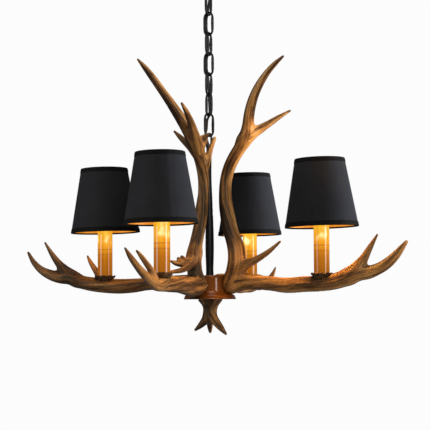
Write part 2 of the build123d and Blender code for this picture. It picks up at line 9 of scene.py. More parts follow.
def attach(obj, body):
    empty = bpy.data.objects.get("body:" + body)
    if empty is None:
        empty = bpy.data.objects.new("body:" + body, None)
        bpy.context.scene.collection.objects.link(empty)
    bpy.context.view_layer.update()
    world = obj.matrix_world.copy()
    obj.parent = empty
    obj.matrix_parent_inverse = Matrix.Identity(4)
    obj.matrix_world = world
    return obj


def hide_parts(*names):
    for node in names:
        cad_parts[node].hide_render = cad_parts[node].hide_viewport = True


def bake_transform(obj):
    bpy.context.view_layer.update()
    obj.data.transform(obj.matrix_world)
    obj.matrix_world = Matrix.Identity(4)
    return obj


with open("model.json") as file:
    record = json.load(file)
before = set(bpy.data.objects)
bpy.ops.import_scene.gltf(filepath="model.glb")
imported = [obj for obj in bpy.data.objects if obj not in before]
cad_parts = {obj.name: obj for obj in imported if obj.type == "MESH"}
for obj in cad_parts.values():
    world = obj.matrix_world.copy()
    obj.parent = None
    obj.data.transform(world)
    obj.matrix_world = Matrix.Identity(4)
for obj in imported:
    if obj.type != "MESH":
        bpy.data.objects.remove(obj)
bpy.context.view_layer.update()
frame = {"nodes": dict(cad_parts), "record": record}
NODES = frame["nodes"]
scene = bpy.context.scene

# ---------------------------------------------------------------- camera
CAM_AZ, CAM_DIST, CAM_Z = math.radians(22.0), 2.350, -0.614
CAM_YAW, CAM_PITCH, CAM_ROLL = (math.radians(v) for v in (0.2478, 3.6985, 0.3100))


def camera_axes():
    fwd = Vector((-math.sin(CAM_AZ), math.cos(CAM_AZ), 0))
    right = Vector((math.cos(CAM_AZ), math.sin(CAM_AZ), 0))
    up = Vector((0, 0, 1))
    fwd, right = fwd * math.cos(CAM_YAW) + right * math.sin(CAM_YAW), right * math.cos(CAM_YAW) - fwd * math.sin(CAM_YAW)
    fwd, up = fwd * math.cos(CAM_PITCH) + up * math.sin(CAM_PITCH), up * math.cos(CAM_PITCH) - fwd * math.sin(CAM_PITCH)
    right, up = right * math.cos(CAM_ROLL) - up * math.sin(CAM_ROLL), up * math.cos(CAM_ROLL) + right * math.sin(CAM_ROLL)
    return fwd, right, up


fwd, right, up = camera_axes()
cam_data = bpy.data.cameras.new("camera")
cam_data.sensor_width = 36.0
cam_data.lens = 1278.0 * 36.0 / 430.0
cam_data.clip_start, cam_data.clip_end = 0.05, 100.0
camera = bpy.data.objects.new("camera", cam_data)
place = Matrix((right, up, -fwd)).transposed().to_4x4()
place.translation = Vector((math.sin(CAM_AZ) * CAM_DIST, -math.cos(CAM_AZ) * CAM_DIST, CAM_Z))
camera.matrix_world = place
scene.collection.objects.link(camera)
scene.camera = camera

# ---------------------------------------------------------------- numbers shared with the CAD, in mm
LIGHTS = {"left": 180.0, "front": -90.0, "back": 90.0, "right": 0.0}
LIGHT_R = 214.5
CONTACTS = [-49.0 - 37.8 * k for k in range(8)]
LINK_YAW = (80.0, -10.0, 80.0, -10.0, 80.0, -36.0, 54.0)

ARM_LEFT = {
    "beam": [
        (-23.1, 0.0, -589.6, 18.1), (-43.1, 0.0, -588.5, 16.6), (-67.3, 0.0, -587.5, 14.8),
        (-93.7, 0.0, -587.2, 13.0), (-120.9, 0.0, -587.6, 12.2), (-151.7, 0.0, -590.7, 13.2),
        (-185.4, 0.0, -591.8, 14.0), (-216.3, 0.0, -590.2, 14.1), (-241.8, 0.0, -587.4, 13.5),
        (-267.6, 0.0, -582.2, 13.0), (-289.1, 0.0, -574.6, 13.4), (-308.7, 0.0, -574.0, 11.9),
        (-332.7, 0.0, -568.3, 9.7), (-352.8, 0.0, -558.3, 7.4), (-369.9, 0.0, -542.5, 5.0),
        (-381.4, 0.0, -524.7, 2.3),
    ],
    "tine": [
        (-276.2, 0.0, -578.2, 11.9), (-297.1, 2.0, -563.7, 10.4), (-314.6, 4.0, -548.6, 7.1),
        (-331.0, 6.0, -530.2, 4.8), (-348.9, 8.0, -505.5, 1.6),
    ],
    "tine3": [
        (-221.5, 6.0, -584.5, 9.5), (-237.5, 18.0, -568.9, 6.5), (-250.1, 22.0, -554.3, 5.0),
        (-259.0, 25.0, -543.5, 3.7), (-266.6, 28.0, -532.2, 1.5),
    ],
}
ARM_FRONT = {
    "beam": [
        (-8.0, -29.8, -593.0, 13.5), (-7.5, -42.0, -594.0, 16.0), (-6.0, -60.5, -594.8, 17.8),
        (-2.5, -97.3, -593.2, 17.2), (0.0, -137.4, -591.5, 14.8), (0.0, -180.4, -591.4, 13.5),
        (0.0, -214.0, -590.3, 13.6), (0.0, -234.0, -592.4, 10.4), (0.0, -256.0, -587.0, 8.4),
        (0.0, -289.1, -574.2, 7.4), (0.0, -314.8, -561.4, 6.0), (0.0, -337.8, -548.0, 4.4),
        (0.0, -357.0, -535.1, 1.4),
    ],
    "tine": [
        (1.5, -249.0, -583.0, 7.4), (0.6, -254.5, -573.0, 6.4), (-1.4, -262.0, -564.6, 5.5),
        (-3.6, -273.0, -555.4, 4.7), (-4.6, -287.2, -546.2, 3.8), (-5.3, -303.0, -537.5, 1.6),
    ],
}
ARM_BACK = {
    "beam": [
        (0.0, 22.4, -591.4, 19.4), (0.0, 37.1, -590.5, 19.0), (0.0, 55.7, -586.0, 17.5),
        (0.0, 71.3, -584.7, 15.4), (0.0, 90.6, -586.9, 13.0), (0.0, 117.4, -589.2, 12.4),
        (0.0, 145.8, -592.4, 13.1), (0.0, 182.3, -590.8, 13.9), (0.0, 212.2, -589.9, 14.0),
        (0.0, 240.8, -586.0, 14.1), (0.0, 262.9, -584.1, 14.6), (0.0, 283.0, -583.4, 13.0),
        (0.0, 299.0, -583.9, 11.0), (0.0, 315.0, -581.8, 8.4), (0.0, 332.0, -576.3, 6.6),
        (0.0, 345.0, -569.6, 5.0), (0.0, 357.5, -561.0, 3.2), (0.0, 369.1, -551.8, 1.4),
    ],
    "tine": [
        (0.0, 264.7, -583.1, 12.3), (-14.0, 280.0, -575.6, 10.2), (-27.0, 292.0, -565.8, 7.4),
        (-40.0, 304.3, -553.0, 5.0), (-52.0, 316.0, -538.0, 1.4),
    ],
}
ARM_RIGHT = {
    "beam": [
        (22.4, 4.0, -591.4, 15.5), (37.1, 4.0, -590.5, 16.8), (55.7, 2.5, -586.0, 16.8),
        (71.3, 1.0, -584.7, 15.3), (90.6, 0.0, -586.9, 13.0), (117.4, 0.0, -589.2, 12.4),
        (145.8, 0.0, -592.4, 13.1), (182.3, 0.0, -590.8, 13.9), (212.2, 0.0, -589.9, 14.0),
        (240.8, 0.0, -585.7, 14.1), (262.9, 0.0, -578.6, 14.6), (283.0, 0.0, -572.8, 13.0),
        (299.0, 0.0, -571.6, 11.2), (315.0, 0.0, -566.6, 9.8), (332.0, 0.0, -557.3, 9.2),
        (345.0, 0.0, -546.2, 7.9), (357.5, 0.0, -532.2, 5.6), (368.0, 0.0, -519.0, 2.8),
    ],
    "tine": [
        (264.7, 0.0, -577.0, 12.3), (280.0, -2.0, -563.2, 11.2), (292.0, -4.0, -547.9, 7.7),
        (304.3, -6.0, -528.2, 5.1), (318.5, -8.0, -506.0, 1.4),
    ],
}
UPRIGHT_FRONT = {
    "trunk": [
        (-5.6, -45.6, -588.0, 14.0), (-7.0, -48.1, -576.6, 13.7), (-8.6, -50.9, -564.0, 13.7), (-9.2, -53.3, -538.8, 13.7),
        (-7.2, -50.4, -522.5, 12.3), (-5.4, -46.4, -508.0, 11.8), (-3.0, -37.9, -480.5, 11.4),
        (-1.7, -33.0, -452.0, 11.3), (0.9, -30.9, -418.2, 9.7), (1.6, -32.8, -395.5, 10.0),
        (1.5, -39.3, -375.9, 10.7), (1.0, -49.2, -359.5, 11.4), (-0.8, -60.7, -343.4, 11.9),
        (-4.8, -73.1, -326.4, 11.5), (-10.8, -86.3, -307.8, 10.6), (-18.0, -100.0, -289.3, 9.6),
        (-26.8, -115.5, -268.6, 8.7), (-35.4, -130.8, -249.8, 7.3), (-46.2, -146.0, -228.4, 6.3),
        (-56.7, -159.9, -209.7, 4.6), (-65.4, -169.9, -196.7, 1.4),
    ],
    "tine2": [
        (2.0, -58.5, -349.6, 10.1), (5.5, -75.4, -331.7, 9.0), (8.4, -96.9, -314.6, 7.5),
        (10.4, -118.7, -298.7, 5.8), (11.7, -138.7, -286.4, 4.2), (11.6, -154.9, -276.9, 2.2),
    ],
    "crown1": [
        (-4.2, -60.0, -348.6, 8.3), (-16.7, -62.8, -336.8, 7.0), (-29.6, -63.7, -324.5, 4.8),
        (-42.3, -63.5, -312.3, 1.8),
    ],
    "crown2": [
        (-2.4, -57.1, -333.8, 9.0), (5.4, -58.2, -329.6, 7.0), (13.9, -58.0, -324.8, 4.7),
        (21.4, -58.2, -319.8, 2.0),
    ],
    "crown3": [
        (8.0, -37.8, -371.5, 8.0), (13.9, -37.5, -355.4, 6.0), (18.8, -36.6, -340.9, 4.7),
        (23.6, -35.8, -328.6, 3.8), (25.3, -35.1, -324.6, 2.9),
    ],
    "crown4": [
        (0.1, -53.9, -346.3, 8.0), (6.5, -54.5, -341.4, 6.1), (13.0, -55.1, -336.6, 4.2),
        (18.8, -54.9, -330.5, 1.8),
    ],
    "brow": [
        (-5.0, -51.0, -534.0, 9.5), (-10.5, -64.7, -547.0, 9.0), (-15.5, -77.4, -552.0, 7.4),
        (-20.1, -90.1, -553.5, 6.0), (-24.4, -102.6, -552.3, 4.3), (-28.7, -113.0, -549.4, 1.6),
    ],
    "knob1": [
        (-19.3, -87.6, -550.6, 4.6), (-21.5, -91.7, -546.0, 3.7), (-22.1, -93.0, -544.6, 3.6),
    ],
    "knob2": [
        (-16.6, -75.7, -547.9, 5.2), (-20.2, -79.4, -542.7, 3.9), (-20.8, -80.7, -541.5, 3.6),
    ],
    "spur": [
        (-7.0, -56.8, -548.0, 8.8), (-8.2, -74.5, -556.6, 6.8), (-9.2, -96.5, -562.9, 5.4),
        (-9.5, -124.6, -567.0, 4.4), (-7.8, -156.3, -569.1, 3.0),
    ],
}
UPRIGHT_RIGHT = {
    "trunk": [
        (41.2, -6.0, -587.0, 13.0), (45.5, -6.0, -575.9, 12.7), (50.4, -6.0, -564.2, 13.8), (54.1, -5.0, -547.8, 14.9),
        (53.9, -4.0, -527.8, 15.1), (48.6, -3.0, -509.4, 13.9), (42.5, -2.0, -492.8, 13.5),
        (35.9, 0.0, -464.4, 13.4), (32.2, 0.0, -438.4, 12.1), (31.7, 0.0, -417.0, 11.2),
        (33.2, 0.0, -399.8, 10.8), (38.3, 0.0, -379.9, 10.5), (49.7, -1.0, -357.1, 10.6),
        (63.2, -2.0, -337.6, 11.0), (73.9, -3.0, -319.0, 11.5), (80.2, -9.0, -300.8, 10.2),
        (84.9, -16.0, -283.6, 9.1), (90.9, -23.0, -268.0, 8.5), (102.3, -33.0, -248.1, 7.6),
        (117.3, -43.0, -229.7, 6.6), (133.4, -51.0, -214.1, 5.3), (150.5, -59.0, -201.6, 3.9),
        (168.6, -67.0, -190.8, 1.4),
    ],
    "tine2": [
        (69.1, -3.0, -327.9, 10.2), (82.1, -1.0, -318.7, 9.7), (96.3, 3.0, -309.4, 8.0),
        (113.0, 7.0, -298.9, 5.8), (131.7, 10.0, -287.5, 4.0), (153.8, 13.0, -275.8, 1.5),
    ],
    "brow": [
        (56.0, -5.0, -557.9, 10.9), (69.9, -6.0, -554.7, 8.0), (87.3, -9.0, -548.9, 6.3),
        (105.0, -12.0, -540.6, 4.9), (123.3, -15.0, -529.6, 3.6), (143.4, -19.0, -514.6, 1.4),
    ],
}
FINIAL = {
    "flare": [
        (0.6, 0.2, -596.0, 30.4), (0.6, 0.2, -600.0, 29.2),
    ],
    "stem": [
        (0.6, 0.2, -612.0, 13.2), (0.7, 0.2, -623.6, 13.4), (0.7, 0.3, -630.0, 13.2),
        (0.4, 0.1, -637.0, 12.7), (0.0, 0.0, -645.0, 12.2), (0.0, 0.0, -651.0, 11.2),
    ],
    "left": [
        (-1.0, -0.6, -643.0, 9.4), (-8.6, -1.7, -655.0, 7.6), (-18.4, -1.1, -664.8, 5.4),
        (-28.9, -0.9, -673.2, 2.0),
    ],
    "right": [
        (2.2, -2.1, -643.0, 9.8), (11.9, -4.6, -656.0, 8.2), (23.0, -6.6, -668.2, 6.0),
        (34.1, -7.8, -679.9, 2.0),
    ],
    "mid": [
        (-1.4, 3.5, -644.0, 8.4), (-4.1, 9.0, -658.0, 6.4), (-5.9, 13.8, -668.7, 4.6),
        (-6.9, 17.7, -677.1, 2.4),
    ],
}

# ---------------------------------------------------------------- small helpers
MM = 0.001


def lamp_xy(name):
    a = math.radians(LIGHTS[name])
    return LIGHT_R * math.cos(a), LIGHT_R * math.sin(a)


def mesh_object(name, verts_mm, faces, smooth=True):
    me = bpy.data.meshes.new(name)
    me.from_pydata((np.asarray(verts_mm, float) * MM).tolist(), [], [list(map(int, f)) for f in faces])
    me.update()
    me.polygons.foreach_set("use_smooth", [smooth] * len(me.polygons))
    ob = bpy.data.objects.new(name, me)
    scene.collection.objects.link(ob)
    return ob


def big_mesh_object(name, verts_mm, quads):
    """Same for large all-quad meshes, filled through arrays."""
    me = bpy.data.meshes.new(name)
    n, q = len(verts_mm), len(quads)
    me.vertices.add(n)
    me.vertices.foreach_set("co", (np.asarray(verts_mm) * MM).astype(np.float32).ravel())
    me.loops.add(q * 4)
    me.loops.foreach_set("vertex_index", np.asarray(quads, np.int32).ravel())
    me.polygons.add(q)
    me.polygons.foreach_set("loop_start", np.arange(0, q * 4, 4, dtype=np.int32))
    me.polygons.foreach_set("use_smooth", np.ones(q, bool))
    me.update(calc_edges=True)
    me.validate()
    ob = bpy.data.objects.new(name, me)
    scene.collection.objects.link(ob)
    return ob


def lathe_arrays(profile, segs, cx=0.0, cy=0.0, closed=True):
    """profile: (r, z) pairs round the section; closed joins the last pair to the first. Pairs at r 0 are single points."""
    verts, rings = [], []
    for r, z in profile:
        if r < 1e-6:
            rings.append([len(verts)])
            verts.append((cx, cy, z))
        else:
            rings.append(list(range(len(verts), len(verts) + segs)))
            for i in range(segs):
                a = 2 * math.pi * i / segs
                verts.append((cx + r * math.cos(a), cy + r * math.sin(a), z))
    faces = []
    pairs = list(zip(rings, rings[1:])) + ([(rings[-1], rings[0])] if closed else [])
    for a, b in pairs:
        for i in range(segs):
            j = (i + 1) % segs
            if len(a) == 1 and len(b) == 1:
                continue
            if len(a) == 1:
                faces.append((a[0], b[j], b[i]))
            elif len(b) == 1:
                faces.append((a[i], a[j], b[0]))
            else:
                faces.append((a[i], a[j], b[j], b[i]))
    return verts, faces


def arc(cx, cz, r, a0, a1, n=6):
    return [(cx + r * math.cos(math.radians(a0 + (a1 - a0) * i / n)), cz + r * math.sin(math.radians(a0 + (a1 - a0) * i / n))) for i in range(n + 1)]


def add_float(me, name, values):
    at = me.attributes.new(name, "FLOAT", "POINT")
    at.data.foreach_set("value", np.asarray(values, np.float32))


def add_vector(me, name, values):
    at = me.attributes.new(name, "FLOAT_VECTOR", "POINT")
    at.data.foreach_set("vector", np.asarray(values, np.float32).ravel())


def set_material(ob, *mats):
    ob.data.materials.clear()
    for m in mats:
        ob.data.materials.append(m)


def recalc_outside(ob):
    import bmesh
    bm = bmesh.new()
    bm.from_mesh(ob.data)
    bmesh.ops.recalc_face_normals(bm, faces=bm.faces)
    bm.to_mesh(ob.data)
    bm.free()


def smoothstep(x, a, b):
    t = np.clip((np.asarray(x, float) - a) / (b - a), 0, 1)
    return t * t * (3 - 2 * t)


RNG = np.random.RandomState(41)
PERM = np.concatenate([RNG.permutation(256)] * 3)
GRAD = RNG.normal(size=(256, 3))
GRAD /= np.linalg.norm(GRAD, axis=1)[:, None]


def noise3(p):
    """Gradient noise, about -1 to 1, at points p (n, 3)."""
    p = np.asarray(p, float)
    i = np.floor(p).astype(np.int64)
    f = p - i
    u = f * f * f * (f * (f * 6 - 15) + 10)
    i &= 255
    out = np.zeros(len(p))
    for dx in (0, 1):
        wx = u[:, 0] if dx else 1 - u[:, 0]
        hx = PERM[(i[:, 0] + dx) & 255]
        for dy in (0, 1):
            wy = wx * (u[:, 1] if dy else 1 - u[:, 1])
            hy = PERM[hx + ((i[:, 1] + dy) & 255)]
            for dz in (0, 1):
                w = wy * (u[:, 2] if dz else 1 - u[:, 2])
                g = GRAD[PERM[hy + ((i[:, 2] + dz) & 255)]]
                out += w * ((f[:, 0] - dx) * g[:, 0] + (f[:, 1] - dy) * g[:, 1] + (f[:, 2] - dz) * g[:, 2])
    return out * 1.55


# ---------------------------------------------------------------- materials
class Nodes:
    """Short way to write a node tree."""

    def __init__(self, name):
        self.mat = bpy.data.materials.new(name)
        self.mat.use_nodes = True
        self.nt = self.mat.node_tree
        self.nt.nodes.clear()
        self.out = self.nt.nodes.new("ShaderNodeOutputMaterial")
        self.bsdf = self.nt.nodes.new("ShaderNodeBsdfPrincipled")
        self.nt.links.new(self.bsdf.outputs[0], self.out.inputs["Surface"])

    def set(self, **kw):
        for k, v in kw.items():
            k = k.replace("_", " ")
            if isinstance(v, (tuple, list)) and len(v) == 3 and k in ("Base Color", "Emission Color", "Specular Tint", "Coat Tint", "Sheen Tint"):
                v = (*v, 1.0)
            self.bsdf.inputs[k].default_value = v
        return self

    def node(self, kind, **props):
        n = self.nt.nodes.new(kind)
        for k, v in props.items():
            setattr(n, k, v)
        return n

    def link(self, a, b):
        self.nt.links.new(a, b)

    def to(self, out, socket):
        self.nt.links.new(out, self.bsdf.inputs[socket])

    def coords(self, which="Object"):
        return self.node("ShaderNodeTexCoord").outputs[which]

    def attr(self, name, out="Fac"):
        return self.node("ShaderNodeAttribute", attribute_name=name).outputs[out]

    def mapping(self, vec, scale=(1, 1, 1), loc=(0, 0, 0)):
        n = self.node("ShaderNodeMapping")
        self.link(vec, n.inputs["Vector"])
        n.inputs["Scale"].default_value = scale
        n.inputs["Location"].default_value = loc
        return n.outputs[0]

    def noise(self, vec, scale, detail=3.0, rough=0.55, distort=0.0):
        n = self.node("ShaderNodeTexNoise")
        self.link(vec, n.inputs["Vector"])
        n.inputs["Scale"].default_value = scale
        n.inputs["Detail"].default_value = detail
        n.inputs["Roughness"].default_value = rough
        n.inputs["Distortion"].default_value = distort
        return n.outputs["Fac"]

    def voronoi(self, vec, scale, feature="F1"):
        n = self.node("ShaderNodeTexVoronoi", feature=feature)
        self.link(vec, n.inputs["Vector"])
        n.inputs["Scale"].default_value = scale
        return n.outputs["Distance"]

    def wave(self, vec, scale, axis="X", distort=0.0, profile="SIN"):
        n = self.node("ShaderNodeTexWave", wave_type="BANDS", bands_direction=axis, wave_profile=profile)
        self.link(vec, n.inputs["Vector"])
        n.inputs["Scale"].default_value = scale
        n.inputs["Distortion"].default_value = distort
        return n.outputs["Fac"]

    def math(self, op, a, b=None, c=None, clamp=False):
        n = self.node("ShaderNodeMath", operation=op, use_clamp=clamp)
        for i, v in enumerate((a, b, c)):
            if v is None:
                continue
            if hasattr(v, "is_linked"):
                self.link(v, n.inputs[i])
            else:
                n.inputs[i].default_value = v
        return n.outputs[0]

    def range(self, v, a, b, c=0.0, d=1.0, smooth=False):
        n = self.node("ShaderNodeMapRange", interpolation_type="SMOOTHSTEP" if smooth else "LINEAR")
        self.link(v, n.inputs["Value"])
        for k, x in zip(("From Min", "From Max", "To Min", "To Max"), (a, b, c, d)):
            n.inputs[k].default_value = x
        return n.outputs["Result"]

    def ramp(self, v, stops, interp="LINEAR"):
        n = self.node("ShaderNodeValToRGB")
        self.link(v, n.inputs["Fac"])
        cr = n.color_ramp
        cr.interpolation = interp
        while len(cr.elements) > 1:
            cr.elements.remove(cr.elements[-1])
        cr.elements[0].position = stops[0][0]
        cr.elements[0].color = (*stops[0][1], 1)
        for pos, col in stops[1:]:
            e = cr.elements.new(pos)
            e.color = (*col, 1)
        return n.outputs["Color"]

    def mix(self, fac, a, b, mode="MIX"):
        n = self.node("ShaderNodeMix", data_type="RGBA", blend_type=mode)
        for i, v in ((0, fac), (6, a), (7, b)):
            if hasattr(v, "is_linked"):
                self.link(v, n.inputs[i])
            elif i == 0:
                n.inputs[i].default_value = v
            else:
                n.inputs[i].default_value = (*v, 1) if len(v) == 3 else v
        return n.outputs[2]

    def bump(self, height, strength, distance, normal=None):
        n = self.node("ShaderNodeBump")
        self.link(height, n.inputs["Height"])
        n.inputs["Strength"].default_value = strength
        n.inputs["Distance"].default_value = distance
        if normal is not None:
            self.link(normal, n.inputs["Normal"])
        return n.outputs[0]

    def z(self, vec):
        n = self.node("ShaderNodeSeparateXYZ")
        self.link(vec, n.inputs[0])
        return n.outputs["Z"]


def antler_material():
    m = Nodes("antler_resin").set(Specular_IOR_Level=0.32, Specular_Tint=(1.0, 0.74, 0.46))
    groove, tip, burr, zone = m.attr("groove"), m.attr("tip"), m.attr("burr"), m.attr("zone")
    bc = m.attr("bc", "Vector")
    streak = m.noise(m.mapping(bc, (0.50, 0.50, 0.016)), 1.0, 5.0, 0.62)
    fine = m.noise(m.mapping(bc, (1.5, 1.5, 0.04)), 1.0, 3.0, 0.6)
    blotch = m.noise(m.coords(), 22.0, 3.0, 0.5)
    pebble = m.noise(m.coords(), 230.0, 3.0, 0.6)
    # dark hair lines and a few deeper cracks along the grain
    hair = m.range(m.math("ABSOLUTE", m.math("SUBTRACT", m.noise(m.mapping(bc, (0.62, 0.62, 0.012), (7, 3, 1)), 1.0, 2.0, 0.5), 0.5)), 0.0, 0.055, 0.0, 1.0, True)
    crack = m.range(m.math("ABSOLUTE", m.math("SUBTRACT", m.noise(m.mapping(bc, (0.21, 0.21, 0.0055), (2, 9, 4)), 1.0, 2.0, 0.5), 0.5)), 0.0, 0.035, 0.0, 1.0, True)
    # ridge height drives the rubbed-off finish; long zones, streaks and blotches break it up; the zone attribute also
    # brings in painted shade and a painted highlight on chosen sides
    h = m.math("MULTIPLY_ADD", groove, 0.36, m.math("MULTIPLY", zone, 0.46))
    h = m.math("ADD", h, m.math("MULTIPLY_ADD", streak, 0.72, -0.36))
    # the arms are rubbed evener than the uprights
    up = m.range(m.z(m.coords()), -0.535, -0.495, 0.0, 1.0, True)
    even = m.math("MULTIPLY_ADD", up, 0.70, 0.30)
    contrast = m.math("ADD", m.math("MULTIPLY_ADD", zone, 0.34, -0.17), m.math("MULTIPLY_ADD", streak, 0.60, -0.30))
    h = m.math("ADD", h, m.math("MULTIPLY", up, contrast))
    h = m.math("ADD", h, m.math("MULTIPLY", even, m.math("MULTIPLY_ADD", fine, 0.50, -0.25)))
    h = m.math("ADD", h, m.math("MULTIPLY_ADD", blotch, 0.42, -0.10))
    h = m.math("ADD", h, m.math("MULTIPLY", even, m.math("MULTIPLY_ADD", hair, 0.24, -0.24)))
    h = m.math("ADD", h, m.math("MULTIPLY_ADD", crack, 0.26, -0.26))
    h = m.math("ADD", h, m.math("MULTIPLY", burr, m.math("MULTIPLY_ADD", pebble, 0.40, -0.22)))
    col = m.ramp(h, [(0.06, (0.0085, 0.0042, 0.0024)), (0.24, (0.036, 0.0155, 0.0060)), (0.42, (0.108, 0.045, 0.0130)),
                     (0.60, (0.215, 0.094, 0.0245)), (0.80, (0.345, 0.162, 0.046)), (1.0, (0.48, 0.26, 0.090))])
    tipdark = m.range(tip, 0.80, 1.0, 0.0, 0.60, True)
    col = m.mix(tipdark, col, (0.045, 0.021, 0.009))
    m.to(col, "Base Color")
    m.to(m.range(h, 0.15, 0.85, 0.60, 0.36), "Roughness")
    height = m.math("MULTIPLY_ADD", fine, 0.6, m.math("MULTIPLY", streak, 0.7))
    height = m.math("ADD", height, m.math("MULTIPLY_ADD", hair, 0.35, m.math("MULTIPLY", crack, 0.5)))
    m.to(m.bump(height, 0.05, 0.0002), "Normal")
    return m.mat


def burr_material():
    m = Nodes("burr_cup").set(Specular_IOR_Level=0.3, Specular_Tint=(1.0, 0.74, 0.46))
    co = m.coords()
    n = m.noise(co, 190.0, 4.0, 0.6)
    v = m.voronoi(co, 330.0)
    f = m.math("ADD", m.math("MULTIPLY", n, 0.8), m.math("MULTIPLY", v, 0.35))
    m.to(m.ramp(f, [(0.3, (0.008, 0.004, 0.0025)), (0.55, (0.032, 0.014, 0.006)), (0.76, (0.100, 0.043, 0.014)), (0.95, (0.19, 0.085, 0.026))]), "Base Color")
    m.to(m.range(n, 0.3, 0.7, 0.7, 0.42), "Roughness")
    m.to(m.bump(f, 0.8, 0.0012), "Normal")
    return m.mat


def fabric_material(name, dark, light, thread=1.0, trim=False):
    m = Nodes(name).set(Specular_IOR_Level=0.04 if trim else 0.10)
    uv = m.coords("UV")  # millimetres along and across the cloth
    warp = m.wave(m.mapping(uv, (1.0 / thread, 1.0 / thread, 1)), 3.1416, "X", 0.0)
    weft = m.wave(m.mapping(uv, (1.0 / thread, 1.0 / thread, 1)), 3.1416, "Y", 0.0)
    slub_a = m.noise(m.mapping(uv, (1.3 / thread, 0.05, 1)), 1.0, 2.0, 0.5)
    slub_b = m.noise(m.mapping(uv, (0.05, 1.3 / thread, 1)), 1.0, 2.0, 0.5)
    weave = m.math("MULTIPLY", m.math("ADD", warp, slub_a), m.math("ADD", weft, slub_b))
    cloud = m.noise(m.mapping(uv, (0.03, 0.03, 1)), 1.0, 3.0, 0.5)
    tone = m.math("ADD", m.math("MULTIPLY", weave, 0.22), m.math("MULTIPLY", cloud, 0.55))
    tone = m.math("ADD", tone, m.math("MULTIPLY", m.math("ADD", slub_a, slub_b), 0.18))
    m.to(m.ramp(tone, [(0.25, dark), (0.85, light)]), "Base Color")
    m.to(m.range(weave, 0.2, 1.6, 0.92, 0.72), "Roughness")
    m.to(m.bump(weave, 0.35, 0.00025), "Normal")
    return m.mat


def lining_painted_glow_material():
    m = Nodes("shade_lining_painted_glow").set(Specular_IOR_Level=0.3, Metallic=0.15, Emission_Strength=0.66)
    uv = m.coords("UV")
    n = m.noise(m.mapping(uv, (0.06, 0.25, 1)), 1.0, 4.0, 0.6)
    g = m.noise(m.mapping(uv, (0.9, 0.9, 1)), 1.0, 3.0, 0.6)
    t = m.math("ADD", m.math("MULTIPLY", n, 0.7), m.math("MULTIPLY", g, 0.3))
    col = m.ramp(t, [(0.25, (0.19, 0.064, 0.008)), (0.55, (0.28, 0.102, 0.013)), (0.8, (0.34, 0.135, 0.020))])
    m.to(col, "Base Color")
    # the emission is painted glow: the bulb's light on the gold lining, set in the colour
    m.to(m.ramp(t, [(0.25, (0.75, 0.25, 0.012)), (0.8, (1.0, 0.38, 0.025))]), "Emission Color")
    m.to(m.range(g, 0.3, 0.7, 0.5, 0.34), "Roughness")
    m.to(m.bump(t, 0.2, 0.0004), "Normal")
    return m.mat


def amber_material():
    m = Nodes("amber_sleeve").set(Specular_IOR_Level=0.0, Roughness=0.24, Coat_Weight=1.0, Coat_Roughness=0.09, Coat_IOR=1.5)
    co = m.coords()
    z = m.z(co)
    along = m.range(z, -0.576, -0.4715)  # 0 at the cup, 1 at the top edge
    wob = m.noise(m.mapping(co, (60, 60, 18)), 1.0, 3.0, 0.5)
    rings = m.noise(m.mapping(co, (4, 4, 420)), 1.0, 2.0, 0.6)
    a = m.math("ADD", along, m.math("MULTIPLY_ADD", wob, 0.14, -0.07))
    a = m.math("ADD", a, m.math("MULTIPLY_ADD", rings, 0.08, -0.04))
    base = m.ramp(a, [(0.0, (0.055, 0.017, 0.0012)), (0.40, (0.08, 0.026, 0.0016)), (0.60, (0.10, 0.036, 0.0022)), (0.9, (0.10, 0.036, 0.0024))])
    # the emission is painted glow: the lamp's light through the amber wall, brighter towards the shade
    painted_glow = m.ramp(a, [(0.0, (0.30, 0.092, 0.0015)), (0.30, (0.44, 0.140, 0.0020)), (0.42, (0.56, 0.195, 0.0040)), (0.54, (0.84, 0.34, 0.012)),
                      (0.64, (0.98, 0.47, 0.030)), (0.80, (1.0, 0.55, 0.036)), (1.0, (0.98, 0.50, 0.034))])
    # painted bright patches of lamp light in the wall, just under the shade
    spot = m.noise(m.mapping(co, (62, 62, 44)), 1.0, 1.0, 0.4)
    near = m.range(m.math("ABSOLUTE", m.math("SUBTRACT", along, 0.74)), 0.03, 0.17, 1.0, 0.0, True)
    painted_hot_spot = m.math("MULTIPLY", m.range(spot, 0.50, 0.66, 0.0, 1.0, True), near)
    painted_glow = m.mix(painted_hot_spot, painted_glow, (1.48, 1.16, 0.52))
    grain = m.noise(m.mapping(co, (150, 150, 7)), 1.0, 2.0, 0.5)
    painted_glow = m.mix(1.0, painted_glow, m.ramp(grain, [(0.36, (0.80, 0.70, 0.55)), (0.60, (1.0, 1.0, 1.0))]), "MULTIPLY")
    line = m.range(m.math("ABSOLUTE", m.math("SUBTRACT", along, 0.515)), 0.0, 0.014, 0.50, 1.0, True)
    line2 = m.range(m.math("ABSOLUTE", m.math("SUBTRACT", along, 0.425)), 0.0, 0.012, 0.62, 1.0, True)
    fade = m.math("MULTIPLY", line, line2)
    painted_glow = m.mix(1.0, painted_glow, m.ramp(fade, [(0.0, (0, 0, 0)), (1.0, (1, 1, 1))]), "MULTIPLY")
    m.to(base, "Base Color")
    m.to(painted_glow, "Emission Color")
    m.set(Emission_Strength=1.05)
    m.to(m.bump(rings, 0.06, 0.0006), "Normal")
    return m.mat


def copper_material():
    m = Nodes("copper_lacquer").set(Metallic=0.25, Specular_IOR_Level=0.14, Specular_Tint=(1.0, 0.65, 0.35), Coat_Weight=0.5, Coat_Roughness=0.05)
    co = m.coords()
    n = m.noise(m.mapping(co, (1, 1, 0.35)), 40.0, 4.0, 0.55)
    turned = m.noise(m.mapping(co, (3, 3, 900)), 1.0, 2.0, 0.6)
    t = m.math("ADD", m.math("MULTIPLY", n, 0.75), m.math("MULTIPLY", turned, 0.25))
    m.to(m.ramp(t, [(0.25, (0.054, 0.0138, 0.0011)), (0.55, (0.092, 0.0236, 0.0018)), (0.8, (0.136, 0.039, 0.0036))]), "Base Color")
    m.to(m.range(n, 0.3, 0.7, 0.28, 0.38), "Roughness")
    m.to(m.bump(turned, 0.05, 0.0003), "Normal")
    return m.mat


